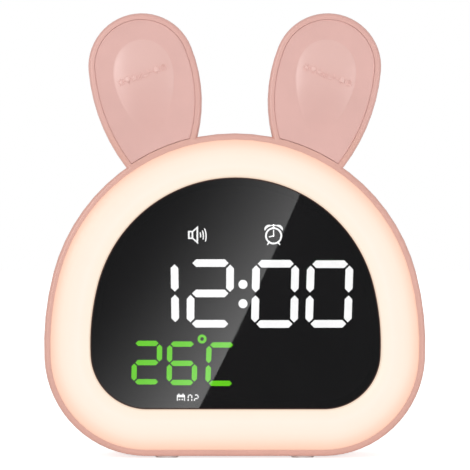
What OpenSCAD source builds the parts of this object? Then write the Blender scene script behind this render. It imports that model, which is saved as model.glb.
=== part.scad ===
// A child's bedside alarm clock with a night light ring, shaped like a rabbit's head with two ears.
// Units are millimetres. X is to the right seen from the front, +Y is towards the back, +Z is up.
// The origin is on the table, under the middle of the clock.

/* [Body] */
// Radius of the arc over the top of the body
body_top_r = 69; // [66:0.5:74]
// Radius of the two side arcs
body_side_r = 103.5; // [98:0.5:112]
// Radius of the two lower corners
body_corner_r = 37.5; // [34:0.5:41]
// Angle from straight up at which the top arc meets a side arc
top_arc_end = 75.4; // [73:0.2:78]
// Angle from straight up at which a side arc meets a lower corner
side_arc_end = 93; // [91:0.5:95]
// Overall depth, from the crown of the light ring to the back
depth = 50; // [49:0.5:60]
// Thickness of the moulded outer walls, and width of the rim seen from the front
wall = 2.3; // [2:0.1:2.6]
// Depth of the front frame, from its rim to the parting line
frame_depth = 13; // [12.5:0.5:15]
// Radius by which the back of the housing is rounded
back_round = 15; // [12:0.5:17]
// Height of the underside above the table
foot_lift = 0.8; // [0.5:0.1:1.5]

/* [Ears] */
// Lean of each ear away from straight up
ear_lean = 20.1; // [18:0.1:24]
// Distance from the body's top arc to the middle of the ear's round tip
ear_reach = 30.6; // [29:0.2:36]
// Radius of the ear's round tip
ear_tip_r = 19.6; // [19:0.2:22]
// Radius of the ear's long inner edge
ear_inner_r = 53; // [50:0.5:60]
// Radius of the ear's long outer edge
ear_outer_r = 68; // [62:0.5:74]
// Thickness of the ear from its rim to its back
ear_depth = 19; // [18:0.5:22]
// Radius by which the ear's back edge is rounded
ear_round = 5; // [3:0.5:5.5]
// Height of the raised pad on each ear key
pad_rise = 1.2; // [0.6:0.1:1.2]
// Width of the flat border between the ear's edge and its raised pad
pad_border = 9.5; // [8:0.5:12]

/* [Light ring] */
// Width of the glowing ring between the rim and the lens
ring_w = 14.5; // [13:0.5:15]
// Height of the ring's crown in front of the rim
crown_rise = 1; // [0.6:0.1:1.5]
// Thickness of the milky ring
diffuser_t = 2; // [1.6:0.1:2.2]
// Number of steps between lamps along the top arc
top_lamps = 10; // [6:1:12]

/* [Display] */
// Thickness of the dark lens
lens_t = 1.9; // [1.5:0.1:2.2]
// Height of the time digits
digit_h = 25.4; // [23:0.1:26]
// Width of a time digit
digit_w = 17.5; // [16:0.1:18]
// Width of the bars of a time digit
digit_bar = 3.02; // [2.6:0.02:3.4]
// Gap between the two hour digits, and between the two minute digits
digit_gap = 2.5; // [2:0.1:3]
// Gap between the hours and the minutes, which holds the colon
colon_gap = 6.3; // [5.5:0.1:7]
// Middle of the four time digits, to the right of the clock's middle
time_x = 2.9; // [1:0.1:4]
// Height of the temperature digits
temp_h = 16.2; // [14:0.1:16.5]
// Width of a temperature digit
temp_w = 11.4; // [10.4:0.1:11.6]
// Width of the bars of a temperature digit
temp_bar = 2; // [1.8:0.05:2.3]
// Gap between the temperature digits
temp_gap = 1.55; // [1.2:0.05:2]
// Gap between the second temperature digit and the letter of its unit, under the degree sign
unit_gap = 2.95; // [2.5:0.05:3.5]
// Middle of the second temperature digit, to the right of the clock's middle
temp_x = -19.4; // [-21:0.1:-17]
// Small tilt of the temperature row
temp_tilt = 1.4; // [0:0.2:2]
// Middle of the date row, to the right of the clock's middle
date_x = -16.8; // [-20:0.1:10]
// Height of the middle of the date row above the display's lower edge
date_rise = 2.1; // [2.1:0.1:2.6]
// Distance from the middle of the date row up to the temperature digits
date_gap = 5.1; // [3.6:0.1:5.5]
// Gap between the temperature digits and the time digits
row_gap = 4.6; // [3:0.1:5]
// Distance from the time digits up to the middle of the two marks above them
mark_gap = 9; // [5:0.1:10]
// Place of the sound mark, to the right of the clock's middle
sound_x = -13.6; // [-16:0.1:-8]
// Place of the alarm mark, to the right of the clock's middle
alarm_x = 14.3; // [8:0.1:16]

/* [Rear controls] */
// Length of a rear button
button_l = 13; // [11:0.5:14]
// Height of a rear button
button_h = 7; // [6:0.5:8]
// Distance between rear buttons
button_pitch = 18; // [17:0.5:19]
// How far a rear button stands out of the control panel
button_proud = 1; // [0.6:0.1:1.1]
// How far every button and ear key is pressed
key_travel = 0.5; // [0.3:0.05:0.6]
// Travel of the battery switch's knob
switch_travel = 3; // [2:0.5:3.5]
// Width of the sunken control panel
panel_w = 88; // [84:1:92]
// Height of the sunken control panel
panel_h = 36; // [34:1:38]
// Depth of the sunken control panel
panel_sink = 1.2; // [1.1:0.1:1.5]

/* [Inside] */
// Radius of the rechargeable cell
cell_r = 9.1; // [8:0.1:9.3]
// Length of the rechargeable cell
cell_l = 65; // [50:1:68]
// Radius of the loudspeaker
speaker_r = 18; // [16:0.5:19]
// Depth of the loudspeaker
speaker_depth = 14; // [12:0.5:17]
// Thickness of the circuit boards
board_t = 1.6; // [1.2:0.1:1.8]
// Radius of the rubber feet
foot_r = 4.4; // [3.5:0.1:5]

/* [Hidden] */

// Smoothness of true circles
$fn = 48;
// Small overlap that makes two shapes of one piece merge
merge = 0.05;
// Extra length by which a cutting shape passes a surface
past = 1;

// ---- Outline of the body ----
top_steps = 14;
side_steps = 4;
corner_steps = 16;
function heading(a) = [sin(a), cos(a)];
side_shift = (body_top_r - body_side_r) * heading(top_arc_end);
corner_shift = side_shift + (body_side_r - body_corner_r) * heading(side_arc_end);
// Middles of the three arcs on the right; the left ones mirror them
top_mid = [0, foot_lift + body_corner_r - corner_shift[1]];
side_mid = top_mid + side_shift;
corner_mid = top_mid + corner_shift;

// Point of the outline whose outward direction is a degrees from straight up, moved in by d
function edge_point(a, d) =
    a <= top_arc_end ? top_mid + (body_top_r - d) * heading(a)
    : a <= side_arc_end ? side_mid + (body_side_r - d) * heading(a)
    : corner_mid + (body_corner_r - d) * heading(a);
headings = [
    for (i = [0:top_steps - 1]) top_arc_end * i / top_steps,
    for (i = [0:side_steps - 1]) top_arc_end + (side_arc_end - top_arc_end) * i / side_steps,
    for (i = [0:corner_steps]) side_arc_end + (180 - side_arc_end) * i / corner_steps];
function flip(p) = [-p[0], p[1]];
// The whole outline, moved in by d: clockwise seen from the front, from the top
function body_outline(d) = [
    for (a = headings) edge_point(a, d),
    for (i = [len(headings) - 1:-1:1]) flip(edge_point(headings[i], d))];

// ---- Outline of the right ear ----
ear_inner_turn = 88;
ear_outer_turn = 75;
ear_steps = 26;
ear_side_steps = 10;
ear_inner_sweep = 52;
ear_outer_sweep = 46;
ear_axis_r = body_top_r + ear_reach;
tip_mid = top_mid + ear_axis_r * heading(ear_lean);
inner_mid = tip_mid + (ear_tip_r - ear_inner_r) * heading(ear_lean - ear_inner_turn);
outer_mid = tip_mid + (ear_tip_r - ear_outer_r) * heading(ear_lean + ear_outer_turn);
function ear_outline(d) = [
    for (i = [0:ear_side_steps - 1])
        inner_mid + (ear_inner_r - d)
            * heading(ear_lean - ear_inner_turn - ear_inner_sweep * (1 - i / ear_side_steps)),
    for (i = [0:ear_steps - 1])
        tip_mid + (ear_tip_r - d)
            * heading(ear_lean - ear_inner_turn + (ear_inner_turn + ear_outer_turn) * i / ear_steps),
    for (i = [0:ear_side_steps])
        outer_mid + (ear_outer_r - d)
            * heading(ear_lean + ear_outer_turn + ear_outer_sweep * i / ear_side_steps)];
// A place on the ear: r along its middle line from the body's middle, off to its outer side
function ear_place(r, off) = top_mid + r * heading(ear_lean) + off * heading(ear_lean + 90);

// ---- Depths, from the front at -Y to the back at +Y ----
front_y = -depth / 2;
back_y = depth / 2;
rim_y = front_y + crown_rise;
part_y = rim_y + frame_depth;
light_floor_t = 2;
light_pocket = 9;
bulkhead_front = rim_y + light_pocket;
bulkhead_back = bulkhead_front + light_floor_t;
ear_back_y = rim_y + ear_depth;
lamp_board_t = 1.2;
lamp_board_front = bulkhead_front - lamp_board_t;
reflector_t = 0.8;

// ---- Light ring and lens ----
slide_gap = 0.15;
lens_edge = wall + ring_w;
ledge_w = 2.1;
ledge_t = 1.45;
tape_t = 0.15;
lens_back = rim_y + lens_t - 0.1;
ledge_front = lens_back + tape_t;
ledge_back = ledge_front + ledge_t;
ring_outer = wall + slide_gap;
ring_inner = lens_edge - slide_gap;
skirt_t = 1.2;
ring_skirt_y = rim_y + 5.5;
crown_edge_y = rim_y + 0.6;
crown_steps = 12;
// How full the ring's rounded section is: 1 is a half sine wave, less is fuller
crown_fullness = 0.55;
function crown_y(t) = crown_edge_y - (crown_edge_y - front_y) * pow(max(0, sin(180 * t)), crown_fullness);
reflector_outer = ring_outer + skirt_t + 0.3;
reflector_inner = lens_edge + 0.8;
bulkhead_edge = lens_edge + 1.4;
module_edge = lens_edge + ledge_w + 0.1;
module_front = lens_back + 0.1;
lamp_inset = wall + ring_w / 2 + 0.4;
lamp_size = [3.5, 2.8, 0.7];

// ---- Display ----
board_front = bulkhead_back;
board_back = board_front + board_t;
board_edge = 12.6;
segment_t = 2;
digit_pitch = digit_w + digit_gap;
colon_pitch = digit_w + colon_gap;
temp_pitch = temp_w + temp_gap;
unit_pitch = temp_w + unit_gap;
// The rows stand on each other, from the display's lower edge up
date_mid = [date_x, foot_lift + module_edge + date_rise];
temp_mid = [temp_x, date_mid[1] + date_gap + temp_h / 2];
time_mid = [time_x, temp_mid[1] + temp_h / 2 + row_gap + digit_h / 2];
mark_z = time_mid[1] + digit_h / 2 + mark_gap;
hour_tens = -digit_pitch - colon_pitch / 2;
hour_ones = -colon_pitch / 2;
minute_tens = colon_pitch / 2;
minute_ones = digit_pitch + colon_pitch / 2;
bar_margin = 0.4;
// Gap between two bars of a time digit; the smaller figures have it in proportion
segment_gap = 0.75;
digit_slant = 0.7;
// Bars of each figure, in the order a b c d e f g
FIGURES = [[1, 1, 1, 1, 1, 1, 0], [0, 1, 1, 0, 0, 0, 0], [1, 1, 0, 1, 1, 0, 1], [1, 1, 1, 1, 0, 0, 1],
    [0, 1, 1, 0, 0, 1, 1], [1, 0, 1, 1, 0, 1, 1], [1, 0, 1, 1, 1, 1, 1], [1, 1, 1, 0, 0, 0, 0],
    [1, 1, 1, 1, 1, 1, 1], [1, 1, 1, 1, 0, 1, 1]];
LETTER_C = [1, 0, 0, 1, 1, 1, 0];

// ---- Ear keys and their switches ----
key_gap = 0.3;
key_front = rim_y + 0.3;
key_plate_t = 2;
key_back = key_front + key_plate_t;
ear_floor_front = key_back + key_travel + 0.9;
ear_floor_t = 2;
ear_floor_back = ear_floor_front + ear_floor_t;
pin_r = 1.4;
pin_gap = 0.1;
pin_head_r = 1.95;
pin_head_t = 1.2;
pin_gap_y = 0.2;
pin_places = [ear_place(ear_axis_r + 3.2, -12.2), ear_place(ear_axis_r + 3.2, 12.2),
    ear_place(body_top_r + 9, 3)];
switch_side = 6;
switch_t = 3.5;
plunger_r = 1.7;
plunger_gap = 0.05;
plunger_in = 1.1;
plunger_out = 1.8;
ear_switch_r = body_top_r + 23.5;
ear_board_size = [25, 9];
ear_board_t = 1.2;
ear_board_front = ear_floor_back + switch_t;
ear_board_back = ear_board_front + ear_board_t;
ear_post_off = 9.9;
ear_screw_r = ear_axis_r + 7.4;

// ---- Screws ----
screw_r = 1.4;
screw_hole_r = 1.6;
pilot_r = 1.45;
screw_head_r = 2.8;
screw_head_t = 2;
well_r = 3.1;
boss_r = 3.6;
column_r = 4.4;
boss_inset = 8.7;
boss_end_y = bulkhead_back + 5;
screw_seat_y = boss_end_y + 3;
small_screw_r = 0.95;
small_pilot_r = 1;
board_hole_r = 1.3;
small_head_r = 1.8;
small_head_t = 1.2;
lead_hole_r = 1.8;
ear_web_t = 2;
ear_seat_y = part_y + ear_web_t;
screw_headings = [48, 130];
board_screw_headings = [22, 66, 120, 160];
board_screw_inset = 15;

// ---- Rear controls and main board ----
panel_y = back_y - panel_sink;
panel_wall = 2.4;
panel_inner_y = panel_y - panel_wall;
panel_margin = 2;
cradle_floor = 1.4;
cradle_rib = 0.6;
cradle_rib_x = 28;
cell_gap = 0.15;
floor_z = foot_lift + wall;
cradle_wall = 1.6;
cell_mid = [board_back + 0.4 + cradle_wall + cell_gap + cell_r,
    floor_z + cradle_rib + cradle_floor + cell_gap + cell_r];
panel_mid_z = cell_mid[1] + cell_r + 4 + panel_h / 2;
button_row_z = panel_mid_z + panel_h / 2 - 9.5;
socket_row_z = panel_mid_z - panel_h / 2 + 9;
button_xs = [-1.5 * button_pitch, -0.5 * button_pitch, 0.5 * button_pitch, 1.5 * button_pitch];
flange_w = 1.3;
flange_t = 1.2;
flange_gap = 0.2;
button_gap = 0.3;
flange_back = panel_inner_y - flange_gap;
flange_front = flange_back - flange_t;
post_l = 1.2;
plunger_top_y = flange_front - post_l;
main_board_back = plunger_top_y - plunger_out + 0.3 - switch_t;
main_board_front = main_board_back - board_t;
main_board_size = [panel_w - 8, panel_h + 2];
main_post_r = 2.6;
main_post_places = [for (x = [-1, 1], z = [-1, 1])
    [x * (main_board_size[0] / 2 - 3), panel_mid_z + z * (main_board_size[1] / 2 - 3)]];
usb_x = 0;
usb_w = 8.94;
usb_h = 3.26;
usb_wall = 0.3;
usb_gap = 0.25;
switch_x = -24;
reset_x = 15;
reset_r = 0.9;
panel_corner_r = 5;
vent_pitch = 2.6;
vent_size = [1.3, 8];
sensor_x = 29;
knob_w = 3;
knob_h = 2.4;
slot_gap = 0.3;
switch_box = [9, 4.4, 4.7];

// ---- Loudspeaker ----
speaker_z = panel_mid_z + panel_h / 2 + panel_margin + 0.5 + speaker_r;
inner_back_y = back_y - wall;
mesh_t = 0.3;
gasket_t = 0.8;
gasket_w = 3.6;
flange_plate_t = 1.2;
gasket_back = inner_back_y - mesh_t;
basket_back = gasket_back - gasket_t;
basket_lip = basket_back - flange_plate_t;
magnet_r = speaker_r * 0.56;
magnet_t = 5;
speaker_front = basket_back - speaker_depth;
grille_pitch = 3.9;
grille_hole_r = 1.05;
speaker_post_r = 1.9;
speaker_post_places = [for (a = [30, 150, 270])
    [(speaker_r + 2) * cos(a), speaker_z + (speaker_r + 2) * sin(a)]];

// ---- Feet ----
foot_t = 1.6;
foot_recess = foot_t - foot_lift;
foot_gap = 0.15;
foot_chamfer = 0.5;
foot_x = corner_mid[0] - 7.5;
foot_front_y = rim_y + frame_depth / 2;
foot_rear_y = back_y - back_round - foot_r - 2.4;

// ---- Colours ----
shell_pink = [0.87, 0.68, 0.64];
key_pink = [0.89, 0.71, 0.67];
milk = [1, 0.93, 0.84];
board_green = [0.12, 0.32, 0.2];

// ---- Shapes that repeat ----
// Places a flat shape drawn in X and Z between two depths
module between(y0, y1) {
    translate([0, y1, 0]) rotate([90, 0, 0]) linear_extrude(y1 - y0) children();
}
// A cylinder along Y at place p
module rod(p, r, y0, y1) {
    translate([p[0], y1, p[1]]) rotate([90, 0, 0]) cylinder(r = r, h = y1 - y0);
}
// A block along Y, its middle at place p, size s in X and Z
module block(p, s, y0, y1) {
    translate([p[0] - s[0] / 2, y0, p[1] - s[1] / 2]) cube([s[0], y1 - y0, s[1]]);
}
// A rounded bar along Y with half-round ends, l long in X and h high in Z
module pill(p, l, h, y0, y1) {
    for (side = [-1, 1]) rod(p + [side * (l - h) / 2, 0], h / 2, y0, y1);
    block(p, [l - h, h], y0, y1);
}
// A block along Y with round corners
module round_block(p, s, r, y0, y1) {
    for (x = [-1, 1], z = [-1, 1]) rod(p + [x * (s[0] / 2 - r), z * (s[1] / 2 - r)], r, y0, y1);
    block(p, [s[0] - 2 * r, s[1]], y0, y1);
    block(p, [s[0], s[1] - 2 * r], y0, y1);
}
module body_area(d) { polygon(body_outline(d)); }
module ear_area(d) { polygon(ear_outline(d)); }
module ring_area(d0, d1) {
    difference() {
        body_area(d0);
        body_area(d1);
    }
}
function at_depth(shape, y) = [for (p = shape) [p[0], y, p[1]]];
// A skin over a row of outlines with equal numbers of points; closed joins the last to the first,
// and split makes triangles of side faces that aren't flat
module skin(rings, closed = false, split = false) {
    n = len(rings[0]);
    m = len(rings);
    sides = [for (j = [0:closed ? m - 1 : m - 2], i = [0:n - 1])
        [j * n + i, ((j + 1) % m) * n + i, ((j + 1) % m) * n + (i + 1) % n, j * n + (i + 1) % n]];
    faces = split ? [for (f = sides) each [[f[0], f[1], f[2]], [f[0], f[2], f[3]]]] : sides;
    ends = closed ? [] : [[for (i = [0:n - 1]) i], [for (i = [n - 1:-1:0]) (m - 1) * n + i]];
    polyhedron([for (r = rings) each r], concat(faces, ends), convexity = 6);
}
// A ring that follows the body's outline; its section is a closed list of [inset, depth]
module swept_ring(section) {
    skin([for (s = section) at_depth(body_outline(s[0]), s[1])], closed = true);
}
module both_sides() {
    children();
    mirror([1, 0, 0]) children();
}

// ---- Front frame: rim, light pocket and the front halves of the ears ----
frame_round = 1.3;
frame_round_steps = 4;
frame_edge = [for (i = [0:frame_round_steps]) let (a = 90 * i / frame_round_steps)
    [frame_round * (1 - sin(a)), rim_y + frame_round * (1 - cos(a))]];
// The ear's lead passes through the body's top wall, half in each housing part
module lead_hole() {
    translate([top_mid[0], part_y, top_mid[1]]) rotate([0, ear_lean, 0])
        translate([0, 0, body_top_r - wall - past]) cylinder(r = lead_hole_r, h = wall + 2 * past);
}
module pocket_area() {
    difference() {
        ear_area(wall);
        body_area(0);
    }
}
module ear_front_half() {
    difference() {
        skin([for (e = concat(frame_edge, [[0, part_y]])) at_depth(ear_outline(e[0]), e[1])]);
        between(rim_y - past, part_y + past) body_area(wall - merge);
        between(rim_y - past, ear_floor_front) pocket_area();
        between(ear_floor_back, part_y + past) pocket_area();
        for (p = pin_places) rod(p, pin_r + pin_gap, ear_floor_front - past, ear_floor_back + past);
        rod(ear_place(ear_switch_r, 0), plunger_r + key_gap, ear_floor_front - past, ear_floor_back + past);
    }
    difference() {
        union() {
            for (off = [-ear_post_off, ear_post_off])
                rod(ear_place(ear_switch_r, off), 2.2, ear_floor_back - merge, ear_board_front);
            rod(ear_place(ear_screw_r, 0), boss_r, ear_floor_back - merge, part_y);
        }
        for (off = [-ear_post_off, ear_post_off])
            rod(ear_place(ear_switch_r, off), small_pilot_r, ear_floor_back, ear_board_front + past);
        rod(ear_place(ear_screw_r, 0), pilot_r, ear_floor_back, part_y + past);
    }
}
module foot_recesses(y) {
    for (side = [-1, 1])
        translate([side * foot_x, y, foot_lift - past])
            cylinder(r = foot_r + foot_gap, h = foot_recess + past);
}
module front_frame() color(shell_pink) difference() {
    union() {
        swept_ring(concat([for (e = frame_edge) e], [[0, part_y], [wall, part_y], [wall, rim_y]]));
        between(bulkhead_front, bulkhead_back) ring_area(wall - merge, bulkhead_edge);
        both_sides() {
            ear_front_half();
            for (a = screw_headings)
                rod(edge_point(a, boss_inset), boss_r, bulkhead_back - merge, boss_end_y);
        }
    }
    both_sides() {
        for (a = screw_headings)
            rod(edge_point(a, boss_inset), pilot_r, bulkhead_front + 0.4, boss_end_y + past);
        for (a = board_screw_headings)
            rod(edge_point(a, board_screw_inset), small_pilot_r, bulkhead_front - past, bulkhead_back + past);
        lead_hole();
    }
    foot_recesses(foot_front_y);
}

// ---- Rear housing ----
back_steps = 8;
back_edge = [for (i = [0:back_steps]) let (a = 90 * i / back_steps) [1 - cos(a), sin(a)]];
// Rows of an outline that run straight back from y0, then curve in by r up to y1
function shell_rows(d, r, y0, y1) =
    concat([[d, y0]], [for (e = back_edge) [d + r * e[0], y1 - r + r * e[1]]]);
module body_shell(d, r, y0, y1) {
    skin([for (e = shell_rows(d, r, y0, y1)) at_depth(body_outline(e[0]), e[1])]);
}
module ear_shell(d, r, y0, y1) {
    skin([for (e = shell_rows(d, r, y0, y1)) at_depth(ear_outline(e[0]), e[1])]);
}
module button_opening(x) {
    pill([x, button_row_z], button_l + 2 * button_gap, button_h + 2 * button_gap,
        panel_inner_y - past, panel_y + past);
}
module grille_holes() {
    reach = speaker_r - gasket_w;
    row = grille_pitch * sin(60);
    rows = floor(reach / row);
    for (j = [-rows:rows], i = [-rows:rows]) {
        p = [grille_pitch * (i + abs(j % 2) / 2), row * j];
        if (norm(p) < reach) rod([p[0], speaker_z + p[1]], grille_hole_r, inner_back_y - past, back_y + past);
    }
}
module rear_shell() {
    difference() {
        union() {
            body_shell(0, back_round, part_y, back_y);
            both_sides() ear_shell(0, ear_round, part_y, ear_back_y);
        }
        body_shell(wall, back_round - wall, part_y - past, inner_back_y);
        both_sides() difference() {
            ear_shell(wall, ear_round - wall, part_y - past, ear_back_y - wall);
            between(part_y - 2 * past, ear_back_y) body_area(0);
        }
    }
}
module rear_housing() color(shell_pink) difference() {
    union() {
        rear_shell();
        block([0, panel_mid_z], [panel_w + 2 * panel_margin, panel_h + 2 * panel_margin],
            panel_inner_y, inner_back_y + merge);
        for (p = main_post_places) rod(p, main_post_r, main_board_back, panel_inner_y + merge);
        for (p = speaker_post_places) rod(p, speaker_post_r, basket_lip, inner_back_y + merge);
        both_sides() {
            intersection() {
                for (a = screw_headings) rod(edge_point(a, boss_inset), column_r, boss_end_y, back_y);
                body_shell(merge, back_round, part_y, back_y - merge);
            }
            rod(ear_place(ear_screw_r, 0), column_r, part_y, ear_back_y - wall + merge);
        }
    }
    round_block([0, panel_mid_z], [panel_w, panel_h], panel_corner_r, panel_y, back_y + past);
    for (x = button_xs) button_opening(x);
    pill([usb_x, socket_row_z], usb_w + 2 * usb_gap, usb_h + 2 * usb_gap,
        panel_inner_y - past, panel_y + past);
    block([switch_x, socket_row_z], [knob_w + switch_travel + 2 * slot_gap, knob_h + 2 * slot_gap],
        panel_inner_y - past, panel_y + past);
    rod([reset_x, socket_row_z], reset_r, panel_inner_y - past, panel_y + past);
    for (i = [-2:2])
        block([sensor_x + i * vent_pitch, socket_row_z], vent_size, panel_inner_y - past, panel_y + past);
    for (p = main_post_places) rod(p, small_pilot_r, main_board_back - past, panel_inner_y - 1);
    for (p = speaker_post_places) rod(p, small_pilot_r, basket_lip - past, back_y - 1);
    grille_holes();
    both_sides() {
        for (a = screw_headings) {
            rod(edge_point(a, boss_inset), screw_hole_r, boss_end_y - past, screw_seat_y + past);
            rod(edge_point(a, boss_inset), well_r, screw_seat_y, back_y + past);
        }
        rod(ear_place(ear_screw_r, 0), screw_hole_r, part_y - past, ear_seat_y + past);
        rod(ear_place(ear_screw_r, 0), well_r, ear_seat_y, ear_back_y + past);
        lead_hole();
    }
    foot_recesses(foot_rear_y);
}

// ---- Light ring ----
underside_steps = 5;
function ring_share(d) = (d - ring_outer) / (ring_inner - ring_outer);
module light_diffuser() color(milk) swept_ring(concat(
    [[ring_outer, crown_edge_y], [ring_outer, ring_skirt_y], [ring_outer + skirt_t, ring_skirt_y]],
    [for (i = [0:underside_steps])
        let (d = ring_outer + skirt_t
            + (ring_inner - ring_outer - skirt_t - diffuser_t) * i / underside_steps)
        [d, crown_y(ring_share(d)) + diffuser_t]],
    [[ring_inner - diffuser_t, ledge_back], [lens_edge + ledge_w, ledge_back],
        [lens_edge + ledge_w, ledge_front],
        [ring_inner, ledge_front]],
    [for (i = [crown_steps:-1:1]) let (t = i / crown_steps)
        [ring_outer + t * (ring_inner - ring_outer), crown_y(t)]]));

// Places and turns of the lamps, evenly spread round the ring
side_lamps = 2;
corner_lamps = 3;
bottom_lamps = 5;
corner_end = [corner_mid[0], foot_lift + lamp_inset];
function spread(a0, a1, n) = [for (i = [1:n]) a0 + (a1 - a0) * i / n];
side_turns = concat(spread(top_arc_end, side_arc_end, side_lamps), spread(side_arc_end, 180, corner_lamps));
lamps = concat(
    [for (i = [0:top_lamps]) let (a = -top_arc_end + 2 * top_arc_end * i / top_lamps)
        [a < 0 ? flip(edge_point(-a, lamp_inset)) : edge_point(a, lamp_inset), a]],
    [for (a = side_turns, side = [-1, 1]) let (p = edge_point(a, lamp_inset))
        [[side * p[0], p[1]], side * a]],
    [for (i = [1:bottom_lamps - 1]) [[corner_end[0] * (1 - 2 * i / bottom_lamps), corner_end[1]], 180]]);
// A block on the lamp board at each lamp; extra is the room left on every side
module lamp_blocks(y0, y1, extra) {
    for (l = lamps)
        translate([l[0][0], y0, l[0][1]]) rotate([0, l[1], 0])
            translate([-lamp_size[0] / 2 - extra, 0, -lamp_size[1] / 2 - extra])
                cube([lamp_size[0] + 2 * extra, y1 - y0, lamp_size[1] + 2 * extra]);
}
module light_reflector() color("white") difference() {
    union() {
        between(lamp_board_front - reflector_t, lamp_board_front) ring_area(reflector_outer, reflector_inner);
        between(ring_skirt_y - 2, lamp_board_front) ring_area(reflector_outer, reflector_outer + reflector_t);
        between(ledge_back, lamp_board_front) ring_area(reflector_inner - reflector_t, reflector_inner);
    }
    lamp_blocks(lamp_board_front - reflector_t - past, lamp_board_front + past, 0.3);
}
module led_ring_board() color("white")
    between(lamp_board_front, bulkhead_front) ring_area(reflector_outer, reflector_inner);
module ring_leds() color([1, 0.95, 0.75]) lamp_blocks(lamp_board_front - lamp_size[2], lamp_board_front, 0);

// ---- Lens and its tape ----
module display_lens() color([0.07, 0.07, 0.07]) between(lens_back - lens_t, lens_back) body_area(lens_edge);
module lens_adhesive() color([0.3, 0.3, 0.3]) between(lens_back, ledge_front)
    ring_area(lens_edge + 0.2, lens_edge + ledge_w - 0.2);

// ---- Figures of the display ----
// Where the bars a b c d e f g of a figure lie, and whether each stands upright
function bar_places(w, h, t) = let (x = (w - t) / 2, z = (h - t) / 4)
    [[[0, 2 * z], 0], [[x, z], 1], [[x, -z], 1], [[0, -2 * z], 0], [[-x, -z], 1], [[-x, z], 1], [[0, 0], 0]];
function slanted(p) = [p[0] + p[1] * tan(digit_slant), p[1]];
// Six corners of a bar with pointed ends: c its middle, half its half length, k half its width
function bar_corners(c, upright, half, k) = [
    for (p = [[-half, 0], [k - half, k], [half - k, k], [half, 0], [half - k, -k], [k - half, -k]])
        slanted(c + (upright == 1 ? [p[1], p[0]] : p))];
// The bars of one figure that are lit, or with rest = 1 the other ones
module figure_area(bars, mid, w, h, t, rest = 0) {
    places = bar_places(w, h, t);
    pull = segment_gap * t / digit_bar / sqrt(2);
    translate(mid) for (i = [0:6]) if (bars[i] != rest)
        polygon(bar_corners(places[i][0], places[i][1],
            (places[i][1] == 1 ? (h - t) / 4 : (w - t) / 2) - pull, t / 2));
}
// The figures on show: which bars, and where
time_figures = [
    [FIGURES[1], time_mid + [hour_tens, 0]], [FIGURES[2], time_mid + [hour_ones, 0]],
    [FIGURES[0], time_mid + [minute_tens, 0]], [FIGURES[0], time_mid + [minute_ones, 0]]];
function temp_row(x) = temp_mid + [x, -x * tan(temp_tilt)];
temp_figures = [
    [FIGURES[2], temp_row(-temp_pitch)], [FIGURES[6], temp_row(0)], [LETTER_C, temp_row(unit_pitch)]];
degree_mid = temp_mid + [unit_pitch / 2 + 0.2, temp_h / 2 + 0.8];
degree_r = 1.64;
degree_hole_r = 0.6;
colon_r = 1.75;
colon_rise = 3.55;
module time_area(rest = 0) {
    for (f = time_figures) figure_area(f[0], f[1], digit_w, digit_h, digit_bar, rest);
    if (rest == 0) for (side = [-1, 1]) translate(time_mid + [0, side * colon_rise]) circle(r = colon_r);
}
module temperature_area(rest = 0) {
    for (f = temp_figures) figure_area(f[0], f[1], temp_w, temp_h, temp_bar, rest);
}
module degree_area() {
    translate(degree_mid) difference() {
        circle(r = degree_r);
        circle(r = degree_hole_r);
    }
}
// Part of a circular band of mean radius r, between two directions counted from +X
module band(r, t, a0, a1) {
    difference() {
        circle(r = r + t / 2);
        circle(r = r - t / 2);
        polygon(concat([[0, 0]], [for (i = [0:6]) let (a = a1 + (a0 + 360 - a1) * i / 6)
            2 * r * [cos(a), sin(a)]]));
    }
}
module speaker_icon() {
    translate([-3.5, -1]) square([1.5, 2]);
    polygon([[-1.7, -1], [-0.1, -2.4], [-0.1, 2.4], [-1.7, 1]]);
    band(1.6, 0.6, -45, 45);
    band(3.1, 0.6, -50, 50);
}
module alarm_icon() {
    difference() {
        circle(r = 3);
        circle(r = 2.4);
    }
    translate([-0.3, -0.3]) square([0.6, 2]);
    translate([-0.3, -0.3]) square([1.6, 0.6]);
    for (side = [-1, 1]) {
        translate([side * 2.15, 2.25]) rotate(-side * 45) translate([0, 0.5]) intersection() {
            circle(r = 1.15);
            translate([-1.2, 0]) square([2.4, 1.2]);
        }
        translate([side * 2.2, -2.35]) rotate(side * 45) translate([-0.3, -1.3]) square([0.6, 1]);
    }
}
// A page of a calendar and the day of the month
module date_icon() {
    figure = [1.7, 3, 0.4];
    translate([-3, 0]) {
        difference() {
            square([3, 3], center = true);
            translate([-1.1, -1.1]) square([2.2, 1.5]);
        }
        for (side = [-1, 1]) translate([side * 0.8 - 0.25, 1.6]) square([0.5, 0.5]);
        for (side = [-1, 1]) translate([side * 0.55 - 0.25, -0.6]) square([0.5, 0.5]);
    }
    for (side = [-1, 1])
        figure_area(side < 0 ? FIGURES[0] : FIGURES[2], [1.5 + side * 1.15, 0],
            figure[0], figure[1], figure[2]);
}
module icons_area() {
    translate([sound_x, mark_z]) speaker_icon();
    translate([alarm_x, mark_z]) alarm_icon();
    translate(date_mid) date_icon();
}
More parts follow.
